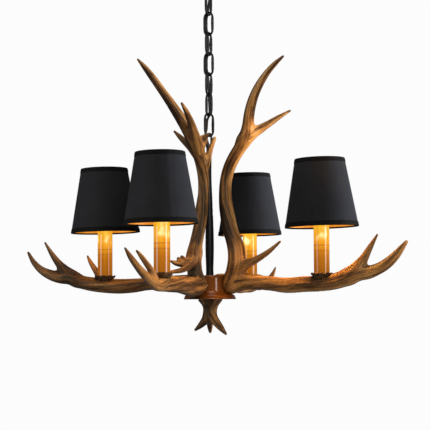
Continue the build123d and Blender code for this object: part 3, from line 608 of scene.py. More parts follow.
def black_metal_material(name="black_metal", rough=0.34):
    m = Nodes(name).set(Metallic=0.0, Specular_IOR_Level=0.22, Coat_Weight=0.04, Coat_Roughness=0.2)
    co = m.coords()
    n = m.noise(co, 55.0, 4.0, 0.6)
    peel = m.noise(co, 620.0, 2.0, 0.5)
    m.to(m.ramp(n, [(0.3, (0.0025, 0.0025, 0.0026)), (0.6, (0.0050, 0.0049, 0.0048)), (0.85, (0.0090, 0.0086, 0.0080))]), "Base Color")
    m.to(m.range(n, 0.3, 0.7, rough - 0.08, rough + 0.1), "Roughness")
    m.to(m.bump(peel, 0.12, 0.0003), "Normal")
    return m.mat


def pvc_material():
    m = Nodes("cord_pvc").set(Specular_IOR_Level=0.4)
    co = m.coords()
    n = m.noise(co, 90.0, 3.0, 0.5)
    fine = m.noise(co, 900.0, 2.0, 0.5)
    m.to(m.ramp(n, [(0.3, (0.0035, 0.0035, 0.0035)), (0.7, (0.008, 0.008, 0.008))]), "Base Color")
    m.to(m.range(fine, 0.3, 0.7, 0.42, 0.58), "Roughness")
    m.to(m.bump(fine, 0.15, 0.0002), "Normal")
    return m.mat


def metal_material(name, dark, light, r0, r1, scale=70.0):
    m = Nodes(name).set(Metallic=1.0)
    co = m.coords()
    n = m.noise(co, scale, 4.0, 0.6)
    brushed = m.noise(m.mapping(co, (40, 40, 900)), 1.0, 2.0, 0.6)
    m.to(m.ramp(m.math("ADD", m.math("MULTIPLY", n, 0.7), m.math("MULTIPLY", brushed, 0.3)), [(0.3, dark), (0.7, light)]), "Base Color")
    m.to(m.range(n, 0.3, 0.7, r0, r1), "Roughness")
    m.to(m.bump(brushed, 0.06, 0.0002), "Normal")
    return m.mat


def plastic_material(name, dark, light, rough):
    m = Nodes(name).set(Specular_IOR_Level=0.45)
    co = m.coords()
    n = m.noise(co, 120.0, 3.0, 0.5)
    fine = m.noise(co, 1500.0, 2.0, 0.5)
    m.to(m.ramp(n, [(0.3, dark), (0.7, light)]), "Base Color")
    m.to(m.range(fine, 0.3, 0.7, rough - 0.07, rough + 0.07), "Roughness")
    m.to(m.bump(fine, 0.1, 0.0002), "Normal")
    return m.mat


def bulb_material():
    m = Nodes("bulb_glass").set(Roughness=0.25, Specular_IOR_Level=0.5, Emission_Strength=4.0)
    co = m.coords()
    z = m.range(m.z(co), -0.475, -0.393)
    n = m.noise(co, 60.0, 2.0, 0.5)
    t = m.math("ADD", z, m.math("MULTIPLY_ADD", n, 0.15, -0.075))
    m.to(m.ramp(t, [(0.0, (0.85, 0.62, 0.35)), (0.5, (0.95, 0.82, 0.6)), (1.0, (0.9, 0.7, 0.42))]), "Base Color")
    m.to(m.ramp(t, [(0.0, (0.6, 0.25, 0.05)), (0.22, (1.0, 0.55, 0.18)), (0.5, (1.0, 0.66, 0.28)), (1.0, (0.8, 0.40, 0.11))]), "Emission Color")
    return m.mat


MAT = {
    "antler": antler_material(),
    "burr": burr_material(),
    "fabric": fabric_material("shade_fabric", (0.0048, 0.0047, 0.0051), (0.0097, 0.0097, 0.0108)),
    "trim": fabric_material("shade_trim", (0.0022, 0.0021, 0.0020), (0.0046, 0.0043, 0.0041), 0.8, True),
    "lining": lining_painted_glow_material(),
    "amber": amber_material(),
    "copper": copper_material(),
    "black": black_metal_material("black_metal", 0.5),
    "rod": black_metal_material("rod_black", 0.42),
    "pvc": pvc_material(),
    "zinc": metal_material("zinc_steel", (0.42, 0.42, 0.41), (0.66, 0.66, 0.64), 0.28, 0.42),
    "brass": metal_material("brass", (0.50, 0.34, 0.12), (0.78, 0.57, 0.25), 0.2, 0.36),
    "wire_connector": plastic_material("wire_connector", (0.42, 0.15, 0.02), (0.58, 0.22, 0.04), 0.45),
    "socket": plastic_material("socket", (0.52, 0.50, 0.45), (0.66, 0.64, 0.58), 0.5),
    "bulb": bulb_material(),
}
# the sleeves' and linings' painted glow and the bulbs' glow are seen but light nothing; the studio and lamp lights do
# the lighting
for key in ("amber", "lining", "bulb"):
    MAT[key].cycles.emission_sampling = "NONE"
SLOT_MAT = {
    "black_metal": "black", "copper_lacquer": "copper", "zinc_steel": "zinc", "brass": "brass", "cord_pvc": "pvc",
    "wire_connector": "wire_connector", "antler_resin": "antler", "burr_cup": "burr", "amber_sleeve": "amber",
    "socket": "socket", "bulb_glass": "bulb", "shade_fabric": "fabric", "shade_wire": "brass",
}
for s in frame["record"]["subparts"]:
    set_material(NODES[s["node"]], MAT[SLOT_MAT[s["material_slot"]]])


def piece(ob, body, slot, *nodes):
    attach(ob, body)
    if nodes:
        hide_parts(*nodes)
    return ob


# ---------------------------------------------------------------- power cord, laced through the chain
def on_circle(r, deg, z):
    return (r * math.cos(math.radians(deg)), r * math.sin(math.radians(deg)), z)


C = CONTACTS
CORD_R = 2.2
CORD_ROUTE = [
    on_circle(20, -55, -8.2), on_circle(20, -55, -30.5), on_circle(16.4, -55, -46), on_circle(9.5, -55, -60), on_circle(0.5, -55, -72),
    on_circle(7.6, 125, C[1]), on_circle(4.6, 174, C[1] - 10), on_circle(4.3, 172, C[1] - 18.9), on_circle(4.6, 174, C[2] + 10),
    on_circle(7.6, 125, C[2]), on_circle(7.0, 111, C[2] - 18.9), on_circle(7.6, 125, C[3]), on_circle(4.6, 174, C[3] - 10),
    on_circle(4.3, 172, C[3] - 18.9), on_circle(4.6, 174, C[4] + 10), on_circle(7.6, 125, C[4]), on_circle(7.0, 111, C[4] - 18.9),
    on_circle(9.9, 112, C[5]), on_circle(8.6, 106, C[5] - 18.9), on_circle(7.9, 100, C[6]), on_circle(5.5, 150, C[6] - 8),
    on_circle(4.3, 224, C[6] - 19), on_circle(4.6, 222, C[7] + 10), on_circle(8, 189, C[7]), on_circle(2.2, 189, -328.5), (0, 0, -339.5), (0, 0, -588),
]


def spline_points(points_mm):
    cu = bpy.data.curves.new("cord_route", "CURVE")
    cu.dimensions = "3D"
    sp = cu.splines.new("NURBS")
    sp.points.add(len(points_mm) - 1)
    for p, co in zip(sp.points, points_mm):
        p.co = (co[0] * MM, co[1] * MM, co[2] * MM, 1.0)
    sp.order_u = 3
    sp.use_endpoint_u = True
    sp.resolution_u = 16
    ob = bpy.data.objects.new("cord_route", cu)
    scene.collection.objects.link(ob)
    me = bpy.data.meshes.new_from_object(ob)
    pts = np.array([v.co for v in me.vertices], float) / MM
    bpy.data.objects.remove(ob)
    bpy.data.meshes.remove(me)
    if pts[0, 2] < pts[-1, 2]:
        pts = pts[::-1]
    return pts


def frames_along(pts):
    t = np.gradient(pts, axis=0)
    t /= np.linalg.norm(t, axis=1)[:, None]
    n = np.zeros_like(t)
    ref = np.array([0, 1.0, 0]) if abs(t[0, 1]) < 0.8 else np.array([1.0, 0, 0])
    for i in range(len(t)):
        ref = ref - t[i] * (ref @ t[i])
        ref /= np.linalg.norm(ref)
        n[i] = ref
    return t, n, np.cross(t, n)


def tube_arrays(pts, radii, segs, cap=True):
    t, n, b = frames_along(pts)
    a = np.arange(segs) * 2 * np.pi / segs
    ring = np.cos(a)[None, :, None] * n[:, None, :] + np.sin(a)[None, :, None] * b[:, None, :]
    verts = (pts[:, None, :] + ring * np.asarray(radii)[:, None, None]).reshape(-1, 3)
    faces = []
    for i in range(len(pts) - 1):
        for k in range(segs):
            k2 = (k + 1) % segs
            faces.append((i * segs + k, i * segs + k2, (i + 1) * segs + k2, (i + 1) * segs + k))
    if cap:
        faces.append(tuple(range(segs))[::-1])
        faces.append(tuple((len(pts) - 1) * segs + k for k in range(segs)))
    return verts, faces


cord_pts = spline_points(CORD_ROUTE)
mids = [(C[k - 1] + C[k]) / 2 for k in range(1, 8)]
cuts = [0] + [int(np.argmin(np.abs(cord_pts[:, 2] - m))) for m in mids] + [len(cord_pts) - 1]
for k in range(8):
    seg = cord_pts[cuts[k]: cuts[k + 1] + 1]
    v, f = tube_arrays(seg, np.full(len(seg), CORD_R), 14)
    ob = mesh_object(f"power_cord_run_{k + 1}", v, f)
    set_material(ob, MAT["pvc"])
    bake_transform(ob)
    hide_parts("power_cord")


# ---------------------------------------------------------------- chain
def link_arrays(z_top, z_bottom, half_w, r, yaw):
    zt, zb = z_top - half_w, z_bottom + half_w
    path = []
    for i in range(25):
        a = math.pi * i / 24
        path.append((half_w * math.cos(a), zt + half_w * math.sin(a)))
    for i in range(1, 12):
        path.append((-half_w, zt + (zb - zt) * i / 12))
    for i in range(25):
        a = math.pi + math.pi * i / 24
        path.append((half_w * math.cos(a), zb + half_w * math.sin(a)))
    for i in range(1, 12):
        path.append((half_w, zb + (zt - zb) * i / 12))
    p = np.array([(x, 0, z) for x, z in path])
    t = np.roll(p, -1, 0) - np.roll(p, 1, 0)
    t /= np.linalg.norm(t, axis=1)[:, None]
    side = np.cross(t, np.array([0, 1.0, 0]))
    segs = 18
    a = np.arange(segs) * 2 * np.pi / segs
    mid = (zt + zb) / 2
    rad = r + 0.6 * (1 - smoothstep(np.abs(p[:, 2] - mid), 8.0, 16.0))
    weld = (p[:, 0] > 0) & (np.abs(p[:, 2] - mid) < 6)
    rad[weld] *= 1 + 0.10 * np.exp(-((p[weld, 2] - mid) / 1.6) ** 2)
    v = p[:, None, :] + rad[:, None, None] * (np.cos(a)[None, :, None] * side[:, None, :] + np.sin(a)[None, :, None] * np.array([0, 1.0, 0]))
    v = v.reshape(-1, 3)
    c, s = math.cos(math.radians(yaw)), math.sin(math.radians(yaw))
    v = np.stack([v[:, 0] * c - v[:, 1] * s, v[:, 0] * s + v[:, 1] * c, v[:, 2]], -1)
    n = len(p)
    faces = [(i * segs + k, i * segs + (k + 1) % segs, ((i + 1) % n) * segs + (k + 1) % segs, ((i + 1) % n) * segs + k) for i in range(n) for k in range(segs)]
    return v, faces


for k in range(1, 8):
    v, f = link_arrays(C[k - 1] + 2.15, C[k] - 2.15, 8.5, 2.0, LINK_YAW[k - 1])
    ob = mesh_object(f"chain_oval_{k}", v, f)
    recalc_outside(ob)
    set_material(ob, MAT["black"])
    piece(ob, f"link_{k}", "black_metal", f"chain_link_{k}")


# ---------------------------------------------------------------- antler castings
def hermite(t, y, m, u):
    i = np.clip(np.searchsorted(t, u, "right") - 1, 0, len(t) - 2)
    h = (t[i + 1] - t[i])
    x = (u - t[i]) / h
    if y.ndim > 1:
        h, x = h[:, None], x[:, None]
    return (y[i] * (1 + 2 * x) * (1 - x) ** 2 + m[i] * h * x * (1 - x) ** 2 + y[i + 1] * x * x * (3 - 2 * x) + m[i + 1] * h * x * x * (x - 1))


def slopes(t, y):
    d = np.diff(y, axis=0) / (np.diff(t)[:, None] if y.ndim > 1 else np.diff(t))
    m = np.zeros_like(y)
    m[0], m[-1] = d[0], d[-1]
    w0, w1 = np.diff(t)[:-1], np.diff(t)[1:]
    if y.ndim > 1:
        w0, w1 = w0[:, None], w1[:, None]
    m[1:-1] = (d[:-1] * w1 + d[1:] * w0) / (w0 + w1)
    return m


class Branch:
    def __init__(self, rows, seed):
        rows = np.array(rows, float)
        P, R = rows[:, :3], rows[:, 3]
        t = np.concatenate([[0], np.cumsum(np.linalg.norm(np.diff(P, axis=0), axis=1))])
        n = max(8, int(t[-1] / 1.3))
        u = np.linspace(0, t[-1], n)
        self.P = hermite(t, P, slopes(t, P), u)
        self.R = np.maximum(hermite(t, R, slopes(t, R), u), 1.0)
        self.R = self.R + 1.1 * np.exp(-self.R / 4.0)
        self.T, self.N, self.B = frames_along(self.P)
        self.S = np.concatenate([[0], np.cumsum(np.linalg.norm(np.diff(self.P, axis=0), axis=1))])
        self.seed = seed

    def local(self, V):
        """Nearest sample, distance to the surface and local section coordinates of points V."""
        best = np.full(len(V), 1e9)
        idx = np.zeros(len(V), int)
        for i in range(0, len(self.P), 1):
            d = np.sqrt(((V - self.P[i]) ** 2).sum(1)) - self.R[i]
            hit = d < best
            best[hit] = d[hit]
            idx[hit] = i
        return best, idx


def smin(a, b, k):
    h = np.maximum(k - np.abs(a - b), 0) / k
    return np.minimum(a, b) - h * h * k * 0.25


def surface_nets(F, origin, h):
    inside = F < 0
    nx, ny, nz = F.shape
    count = np.zeros((nx - 1, ny - 1, nz - 1), np.int8)
    for i in (0, 1):
        for j in (0, 1):
            for k in (0, 1):
                count += inside[i:nx - 1 + i, j:ny - 1 + j, k:nz - 1 + k]
    active = (count > 0) & (count < 8)
    idx = np.full(active.shape, -1, np.int64)
    cells = np.argwhere(active)
    idx[active] = np.arange(len(cells))
    P = np.zeros((len(cells), 3))
    W = np.zeros(len(cells))
    for axis in range(3):
        o1, o2 = [a for a in range(3) if a != axis]
        for a in (0, 1):
            for b in (0, 1):
                off = np.zeros(3, int)
                off[o1], off[o2] = a, b
                end = off.copy()
                end[axis] = 1
                p0, p1 = cells + off, cells + end
                f0 = F[p0[:, 0], p0[:, 1], p0[:, 2]]
                f1 = F[p1[:, 0], p1[:, 1], p1[:, 2]]
                cross = (f0 < 0) != (f1 < 0)
                t = np.where(cross, f0 / np.where(cross, f0 - f1, 1), 0)
                add = np.tile(off.astype(float), (len(cells), 1))
                add[:, axis] = t
                P[cross] += add[cross]
                W[cross] += 1
    V = origin + (cells + P / W[:, None]) * h
    quads = []
    for axis in range(3):
        o1, o2 = [a for a in range(3) if a != axis]
        lo = [slice(None)] * 3
        hi = [slice(None)] * 3
        lo[axis], hi[axis] = slice(0, F.shape[axis] - 1), slice(1, F.shape[axis])
        a, b = inside[tuple(lo)], inside[tuple(hi)]
        e = np.argwhere(a != b)
        ok = (e[:, o1] > 0) & (e[:, o2] > 0) & (e[:, o1] < F.shape[o1] - 1) & (e[:, o2] < F.shape[o2] - 1)
        e = e[ok]
        out = a[e[:, 0], e[:, 1], e[:, 2]]
        c = []
        for d1, d2 in ((-1, -1), (0, -1), (0, 0), (-1, 0)):
            q = e.copy()
            q[:, o1] += d1
            q[:, o2] += d2
            c.append(idx[q[:, 0], q[:, 1], q[:, 2]])
        c = np.stack(c, -1)
        flip = out if axis != 1 else ~out
        c[~flip] = c[~flip][:, ::-1]
        quads.append(c)
    return V, np.concatenate(quads)


def vertex_normals(V, Q):
    fn = np.cross(V[Q[:, 2]] - V[Q[:, 0]], V[Q[:, 3]] - V[Q[:, 1]])
    N = np.zeros_like(V)
    for k in range(4):
        np.add.at(N, Q[:, k], fn)
    return N / np.maximum(np.linalg.norm(N, axis=1), 1e-12)[:, None]


def relax(V, Q, rounds, amount):
    e = np.concatenate([Q[:, [k, (k + 1) % 4]] for k in range(4)])
    deg = np.bincount(e[:, 0], minlength=len(V)) + np.bincount(e[:, 1], minlength=len(V))
    for _ in range(rounds):
        acc = np.zeros_like(V)
        for c in range(3):
            acc[:, c] = np.bincount(e[:, 0], V[e[:, 1], c], len(V)) + np.bincount(e[:, 1], V[e[:, 0], c], len(V))
        V = V + amount * (acc / deg[:, None] - V)
    return V


VOXEL = 1.25
HUB_R, HUB_TOP, HUB_LOW, FLANGE_R = 37.15, -573.4, -617.2, 48.2


FOOT = [(37.05, -602.0), (37.2, -603.4), (37.7, -604.8), (38.5, -606.0), (39.6, -606.9), (41.0, -607.5), (42.4, -607.9), (43.6, -608.4), (44.7, -609.3), (45.7, -610.8), (46.6, -612.7), (47.4, -614.6)]


def hub_solid(x, y, z):
    """Signed distance, roughly, to the hub with its bell-shaped foot."""
    rho = np.sqrt(x * x + y * y)
    line = [(48.0, -617.2), (48.0, -616.2)] + FOOT[::-1] + [(37.0, HUB_TOP)]
    wall = np.interp(z, [b for a, b in line], [a + 0.15 for a, b in line])
    return np.maximum(np.maximum(rho - wall, z - HUB_TOP), HUB_LOW - z)


def casting(name, groups, nodes, joins, burrs, seed, grow=0.0, shift=0.0, stains_and_painted_light=()):
    """groups: (branch table, join radius) pairs; joins: join radius by branch name; burrs: rough spots (x, y, z,
    reach).
    grow: millimetres added all over; shift: lighter or darker finish; stains: (x, y, z, reach, amount, side) tone
    patches, and where side gives a facing direction in degrees only faces turned that way change, which paints shade
    (amount below 0) or a highlight (amount above 0) on that side."""
    branches, ks = [], []
    for table, k0 in groups:
        for i, (bn, rows) in enumerate(table.items()):
            branches.append(Branch(rows, seed * 17.3 + len(branches) * 5.71))
            ks.append(k0 if i == 0 else joins.get(bn, 9.0))
    pad = 12.0
    lo = np.min([(b.P - b.R[:, None]).min(0) for b in branches], 0) - pad
    hi = np.max([(b.P + b.R[:, None]).max(0) for b in branches], 0) + pad
    shape = np.ceil((hi - lo) / VOXEL).astype(int) + 1
    F = np.full(shape, 12.0, np.float32)
    ax = [lo[i] + np.arange(shape[i]) * VOXEL for i in range(3)]
    for b, k in zip(branches, ks):
        reach = 12.5
        blo = np.maximum(((b.P - b.R[:, None]).min(0) - reach - lo) / VOXEL, 0).astype(int)
        bhi = np.minimum(((b.P + b.R[:, None]).max(0) + reach - lo) / VOXEL + 2, shape).astype(int)
        G = np.full(bhi - blo, 12.0, np.float32)
        for p, r in zip(b.P, b.R):
            i0 = np.maximum(np.floor((p - r - reach - lo) / VOXEL).astype(int), blo)
            i1 = np.minimum(np.ceil((p + r + reach - lo) / VOXEL).astype(int) + 1, bhi)
            dx = (ax[0][i0[0]:i1[0]] - p[0]).astype(np.float32) ** 2
            dy = (ax[1][i0[1]:i1[1]] - p[1]).astype(np.float32) ** 2
            dz = (ax[2][i0[2]:i1[2]] - p[2]).astype(np.float32) ** 2
            d = np.sqrt(dx[:, None, None] + dy[None, :, None] + dz[None, None, :]) - np.float32(r)
            sl = tuple(slice(i0[c] - blo[c], i1[c] - blo[c]) for c in range(3))
            np.minimum(G[sl], d, out=G[sl])
        sl = tuple(slice(blo[c], bhi[c]) for c in range(3))
        F[sl] = smin(F[sl], G, k)
    if name != "finial":
        X, Y, Z = np.meshgrid(*[a.astype(np.float32) for a in ax], indexing="ij", sparse=True)
        F = np.maximum(F, -hub_solid(X, Y, Z)).astype(np.float32)
        for lamp in LIGHTS:
            cx, cy = lamp_xy(lamp)
            seat = np.maximum(np.maximum(np.sqrt((X - cx) ** 2 + (Y - cy) ** 2) - 17.0, -579.0 - Z), Z + 545.0)
            F = np.maximum(F, -seat).astype(np.float32)
    else:
        Z = ax[2][None, None, :]
        F = np.maximum(F, (Z + 617.1)).astype(np.float32)
    V, Q = surface_nets(F, lo, VOXEL)
    V = relax(V, Q, 6, 0.5)
    N = vertex_normals(V, Q)

    # branch coordinates of every vertex, weighted near the forks
    n = len(V)
    wsum, height, big, zone = np.zeros(n), np.zeros(n), np.zeros(n), np.zeros(n)
    tip = np.zeros(n)
    near = np.full(n, 1e9)
    bc = np.zeros((n, 3))
    amp = np.zeros(n)
    for b in branches:
        lo_b, hi_b = (b.P - b.R[:, None]).min(0) - 14, (b.P + b.R[:, None]).max(0) + 14
        sel = np.where(((V > lo_b) & (V < hi_b)).all(1))[0]
        if not len(sel):
            continue
        d, i = b.local(V[sel])
        keep = d < 10
        sel, d, i = sel[keep], d[keep], i[keep]
        rel = V[sel] - b.P[i]
        lx, ly = (rel * b.N[i]).sum(1), (rel * b.B[i]).sum(1)
        s = b.S[i] + np.clip((rel * b.T[i]).sum(1), -4, 4)
        R = b.R[i]
        th = np.arctan2(ly, lx) + 0.0045 * s + 0.25 * np.sin(s / 47.0 + b.seed)
        size = 3.25 * np.sqrt(R)
        q = np.stack([np.cos(th) * size, np.sin(th) * size, s], -1)
        g1 = noise3(q * (1 / 6.4, 1 / 6.4, 1 / 120) + b.seed)
        g2 = noise3(q * (1 / 3.0, 1 / 3.0, 1 / 62) + b.seed + 31.7)
        g0 = noise3(q * (1 / 13, 1 / 13, 1 / 75) + b.seed + 77.1)
        g3 = noise3(q * (1 / 10, 1 / 10, 1 / 150) + b.seed + 53.3)
        thick = smoothstep(R, 3.5, 9.0)
        h = 0.62 * np.minimum(np.abs(g1) * 2.4, 1.2) ** 0.8 + 0.16 * thick * np.minimum(np.abs(g2) * 2.4, 1.2) + 0.30 * 0.45 - 0.072 * thick
        w = np.exp(-np.maximum(d, -3) / 1.6)
        a = smoothstep(R, 1.3, 9.5)
        wsum[sel] += w
        height[sel] += w * h
        big[sel] += w * g0
        zone[sel] += w * g3
        amp[sel] += w * (0.25 + 0.75 * a)
        end = b.S[-1] - s
        tapered = b.R[-1] < 3
        if tapered:
            tip[sel] = np.maximum(tip[sel], np.where(d < 2.5, 1 - smoothstep(end, 0, 26), 0))
        closer = d < near[sel] - 0.6
        near[sel] = np.where(closer, d, near[sel])
        bc[sel[closer]] = q[closer] + np.array([b.seed * 3.1, b.seed * 1.7, 0])
    wsum = np.maximum(wsum, 1e-9)
    height, big, amp, zone = height / wsum, big / wsum, amp / wsum, zone / wsum
    # thin tines are worn smoother than the thick beams
    worn = smoothstep(amp, 0.85, 1.0)
    fair = relax(np.stack([height, big, zone], 1), Q, 1, 0.5)
    soft = relax(fair, Q, 5, 0.5)
    height = soft[:, 0] * (1 - worn) + fair[:, 0] * worn
    big = soft[:, 1] * (1 - worn) + big * worn
    burr = np.zeros(n)
    for x, y, z, r in burrs:
        burr = np.maximum(burr, 1 - smoothstep(np.linalg.norm(V - (x, y, z), axis=1), 0.35 * r, r))
    pearl = np.maximum(noise3(V / 3.6 + seed), 0) * 1.5 + np.maximum(noise3(V / 6.1 + seed + 9), 0) * 0.9
    rough = np.maximum(noise3(V / 5.2 + seed * 3), -0.2)
    push = amp * (0.80 * (height - 0.5) + 0.85 * big + grow) + burr * (0.36 * pearl - 0.12) + 0.08 * amp * worn * rough
    V = relax(V + N * push[:, None], Q, 1, 0.4)
    # the faces against the hub stay true
    if name != "finial":
        inside = -hub_solid(V[:, 0], V[:, 1], V[:, 2])
        fix = inside > -0.05
        rho = np.maximum(np.hypot(V[:, 0], V[:, 1]), 1e-6)
        for c in (0, 1):
            V[fix, c] *= (1 + np.minimum(np.maximum(inside[fix], 0) + 0.05, 1.5) / rho[fix])
    else:
        V[:, 2] = np.minimum(V[:, 2], -617.1)
    ob = big_mesh_object(name, V, Q)
    tone = height * 0.85 + 0.25 * big + 0.10 * burr * pearl
    add_float(ob.data, "groove", np.clip((tone - 0.12) / 0.75, 0, 1.2))
    zone = 0.5 + 0.75 * zone + shift
    # stains with a side are painted shade or a painted highlight on the faces turned that way; the others change the
    # tone all round
    for x, y, z, r, amount, side in stains_and_painted_light:
        w = 1 - smoothstep(np.linalg.norm(V - (x, y, z), axis=1), 0.55 * r, r)
        if side is not None:
            w = w * smoothstep(N[:, 0] * math.cos(math.radians(side)) + N[:, 1] * math.sin(math.radians(side)), -0.35, 0.30)
        zone = zone + amount * w
    add_float(ob.data, "zone", np.clip(zone, -0.5, 1.3))
    add_float(ob.data, "tip", np.clip(tip, 0, 1))
    add_float(ob.data, "burr", np.clip(burr, 0, 1))
    add_vector(ob.data, "bc", bc)
    set_material(ob, MAT["antler"])
    piece(ob, "fixture", "antler_resin", *nodes)
    return ob


# the stains with side 202 paint shade on the faces turned left, and the one with side 22 paints a highlight on the
# right face of the fork
casting("antler_right", [(ARM_RIGHT, 9.0), (UPRIGHT_RIGHT, 15.0)], ["arm_antler_right", "upright_antler_right"],
        {"tine": 10.0, "tine2": 11.0, "brow": 10.0}, [(46, -4, -584, 46), (120, 0, -590, 40), (165, 0, -590, 40), (214, 0, -584, 40), (56, -5, -556, 30)], 1,
        0.25, 0.24, [(36, 0, -440, 110, -0.36, 202), (72, -3, -322, 46, 0.40, 22), (46, -4, -580, 40, -0.30, None), (52, -4, -530, 60, -0.16, 202)])
# the stains with side 202 paint shade on the faces turned left
casting("antler_front", [(ARM_FRONT, 9.0), (UPRIGHT_FRONT, 15.0)], ["arm_antler_front", "upright_antler_front"],
        {"tine": 5.0, "spur": 4.0, "knob1": 1.6, "knob2": 1.6, "crown1": 6.0, "crown2": 3.5, "crown3": 5.0, "crown4": 3.0, "brow": 8.0, "tine2": 8.0},
        [(-2, -60, -588, 52), (0, -120, -590, 40), (0, -214, -584, 36), (-9, -54, -545, 28)], 2,
        -0.40, 0.16, [(-35, -131, -250, 75, -0.75, 202), (-2, -36, -470, 120, -0.06, 202), (0, -110, -592, 110, -0.26, None), (-8, -50, -562, 30, -0.45, None), (-9, -62, -535, 26, 0.40, None)])
casting("antler_left", [(ARM_LEFT, 9.0)], ["arm_antler_left"], {"tine": 10.0, "tine3": 6.0},
        [(-46, 0, -588, 40), (-120, 0, -588, 42), (-214, 0, -584, 42)], 3, -0.1, -0.10, [(-300, 0, -570, 46, -0.35, None)])
casting("antler_back", [(ARM_BACK, 9.0)], ["arm_antler_back"], {"tine": 10.0},
        [(0, 46, -588, 40), (0, 130, -590, 42), (0, 214, -584, 42)], 4)
casting("finial", [(FINIAL, 9.0)], ["finial_antler"], {"left": 4.0, "right": 4.0, "mid": 3.5}, [(0, 0, -617, 3)], 5, 0.0, -0.36)


# ---------------------------------------------------------------- hub, rod
def hub_pieces():
    prof = [(37.0, -609.0)] + [(37.0, -609.0 + 33.9 * i / 8) for i in range(1, 8)] + arc(35.4, -575.1, 1.6, 0, 90, 6) + [(20.0, -573.5), (8.2, -573.5), (8.2, -575.5), (34.0, -575.5), (34.0, -609.0)]
    v, f = lathe_arrays(prof, 160)
    ob = mesh_object("hub_shell", v, f)
    recalc_outside(ob)
    set_material(ob, MAT["copper"])
    piece(ob, "fixture", "copper_lacquer", "hub_body")
    # foot: swept out like a bell to a rounded lower edge
    rim = [(47.9, -615.8), (48.0, -616.4), (47.6, -616.9), (46.6, -617.0)]
    prof = FOOT + rim + [(44.0, -617.0), (42.0, -616.2), (24.0, -616.2), (22.0, -617.0), (6.0, -617.0), (6.0, -611.0), (36.5, -611.0), (36.5, -602.0)]
    v, f = lathe_arrays(prof, 160)
    ob = mesh_object("hub_foot", v, f)
    recalc_outside(ob)
    set_material(ob, MAT["copper"])
    piece(ob, "fixture", "copper_lacquer", "hub_flange")


hub_pieces()
for n in ("centre_rod",):
    set_material(NODES[n], MAT["rod"])


# ---------------------------------------------------------------- lights: cup, sleeve, bulb, shade
def uv_from_lathe(ob, cx, cy):
    """UV in mm: around the mean circle, and up."""
    uv = ob.data.uv_layers.new(name="cloth")
    co = np.array([v.co for v in ob.data.vertices]) / MM
    li = np.zeros(len(ob.data.loops), np.int32)
    ob.data.loops.foreach_get("vertex_index", li)
    a = np.arctan2(co[:, 1] - cy, co[:, 0] - cx)
    u = a[li]
    out = np.zeros((len(li), 2), np.float32)
    for p in ob.data.polygons:
        ix = list(p.loop_indices)
        vals = u[ix]
        if vals.max() - vals.min() > math.pi:
            u[ix] = np.where(vals < 0, vals + 2 * math.pi, vals)
    out[:, 0] = u * 54.0
    out[:, 1] = co[li, 2] + 500.0
    uv.data.foreach_set("uv", out.ravel())


SHADE_Z0, SHADE_Z1, SHADE_T = -489.7, -367.8, 1.2
SHADE_R = {"left": (65.2, 44.2), "front": (63.0, 42.3), "back": (63.0, 42.5), "right": (65.6, 44.4)}


SHADE_LEAN = {"left": (1.2, 0.2), "front": (0.7, 2.1), "back": (0.8, 0.8), "right": (1.3, 0.4)}   # degrees, mm aside


def lean(name, v):
    """A clip-on shade sits a little askew on its bulb."""
    cx, cy = lamp_xy(name)
    deg, aside = SHADE_LEAN[name]
    side = np.array([math.cos(CAM_AZ), math.sin(CAM_AZ)])
    v = np.array(v, float)
    rel = v - np.array([cx, cy, -435.0])
    u = rel[:, 0] * side[0] + rel[:, 1] * side[1]
    c, s = math.cos(math.radians(deg)), math.sin(math.radians(deg))
    u2, z2 = u * c - rel[:, 2] * s, u * s + rel[:, 2] * c
    v[:, 0] += (u2 - u - aside) * side[0]
    v[:, 1] += (u2 - u - aside) * side[1]
    v[:, 2] = -435.0 + z2
    return v


def ring_arrays(cx, cy, z, big_r, r, segs=72, around=10):
    a = np.arange(segs) * 2 * np.pi / segs
    p = np.stack([cx + big_r * np.cos(a), cy + big_r * np.sin(a), np.full(segs, z)], -1)
    out = np.stack([np.cos(a), np.sin(a), np.zeros(segs)], -1)
    b = np.arange(around) * 2 * np.pi / around
    v = p[:, None, :] + r * (np.cos(b)[None, :, None] * out[:, None, :] + np.sin(b)[None, :, None] * np.array([0, 0, 1.0]))
    f = [(i * around + k, ((i + 1) % segs) * around + k, ((i + 1) % segs) * around + (k + 1) % around, i * around + (k + 1) % around) for i in range(segs) for k in range(around)]
    return v.reshape(-1, 3), f


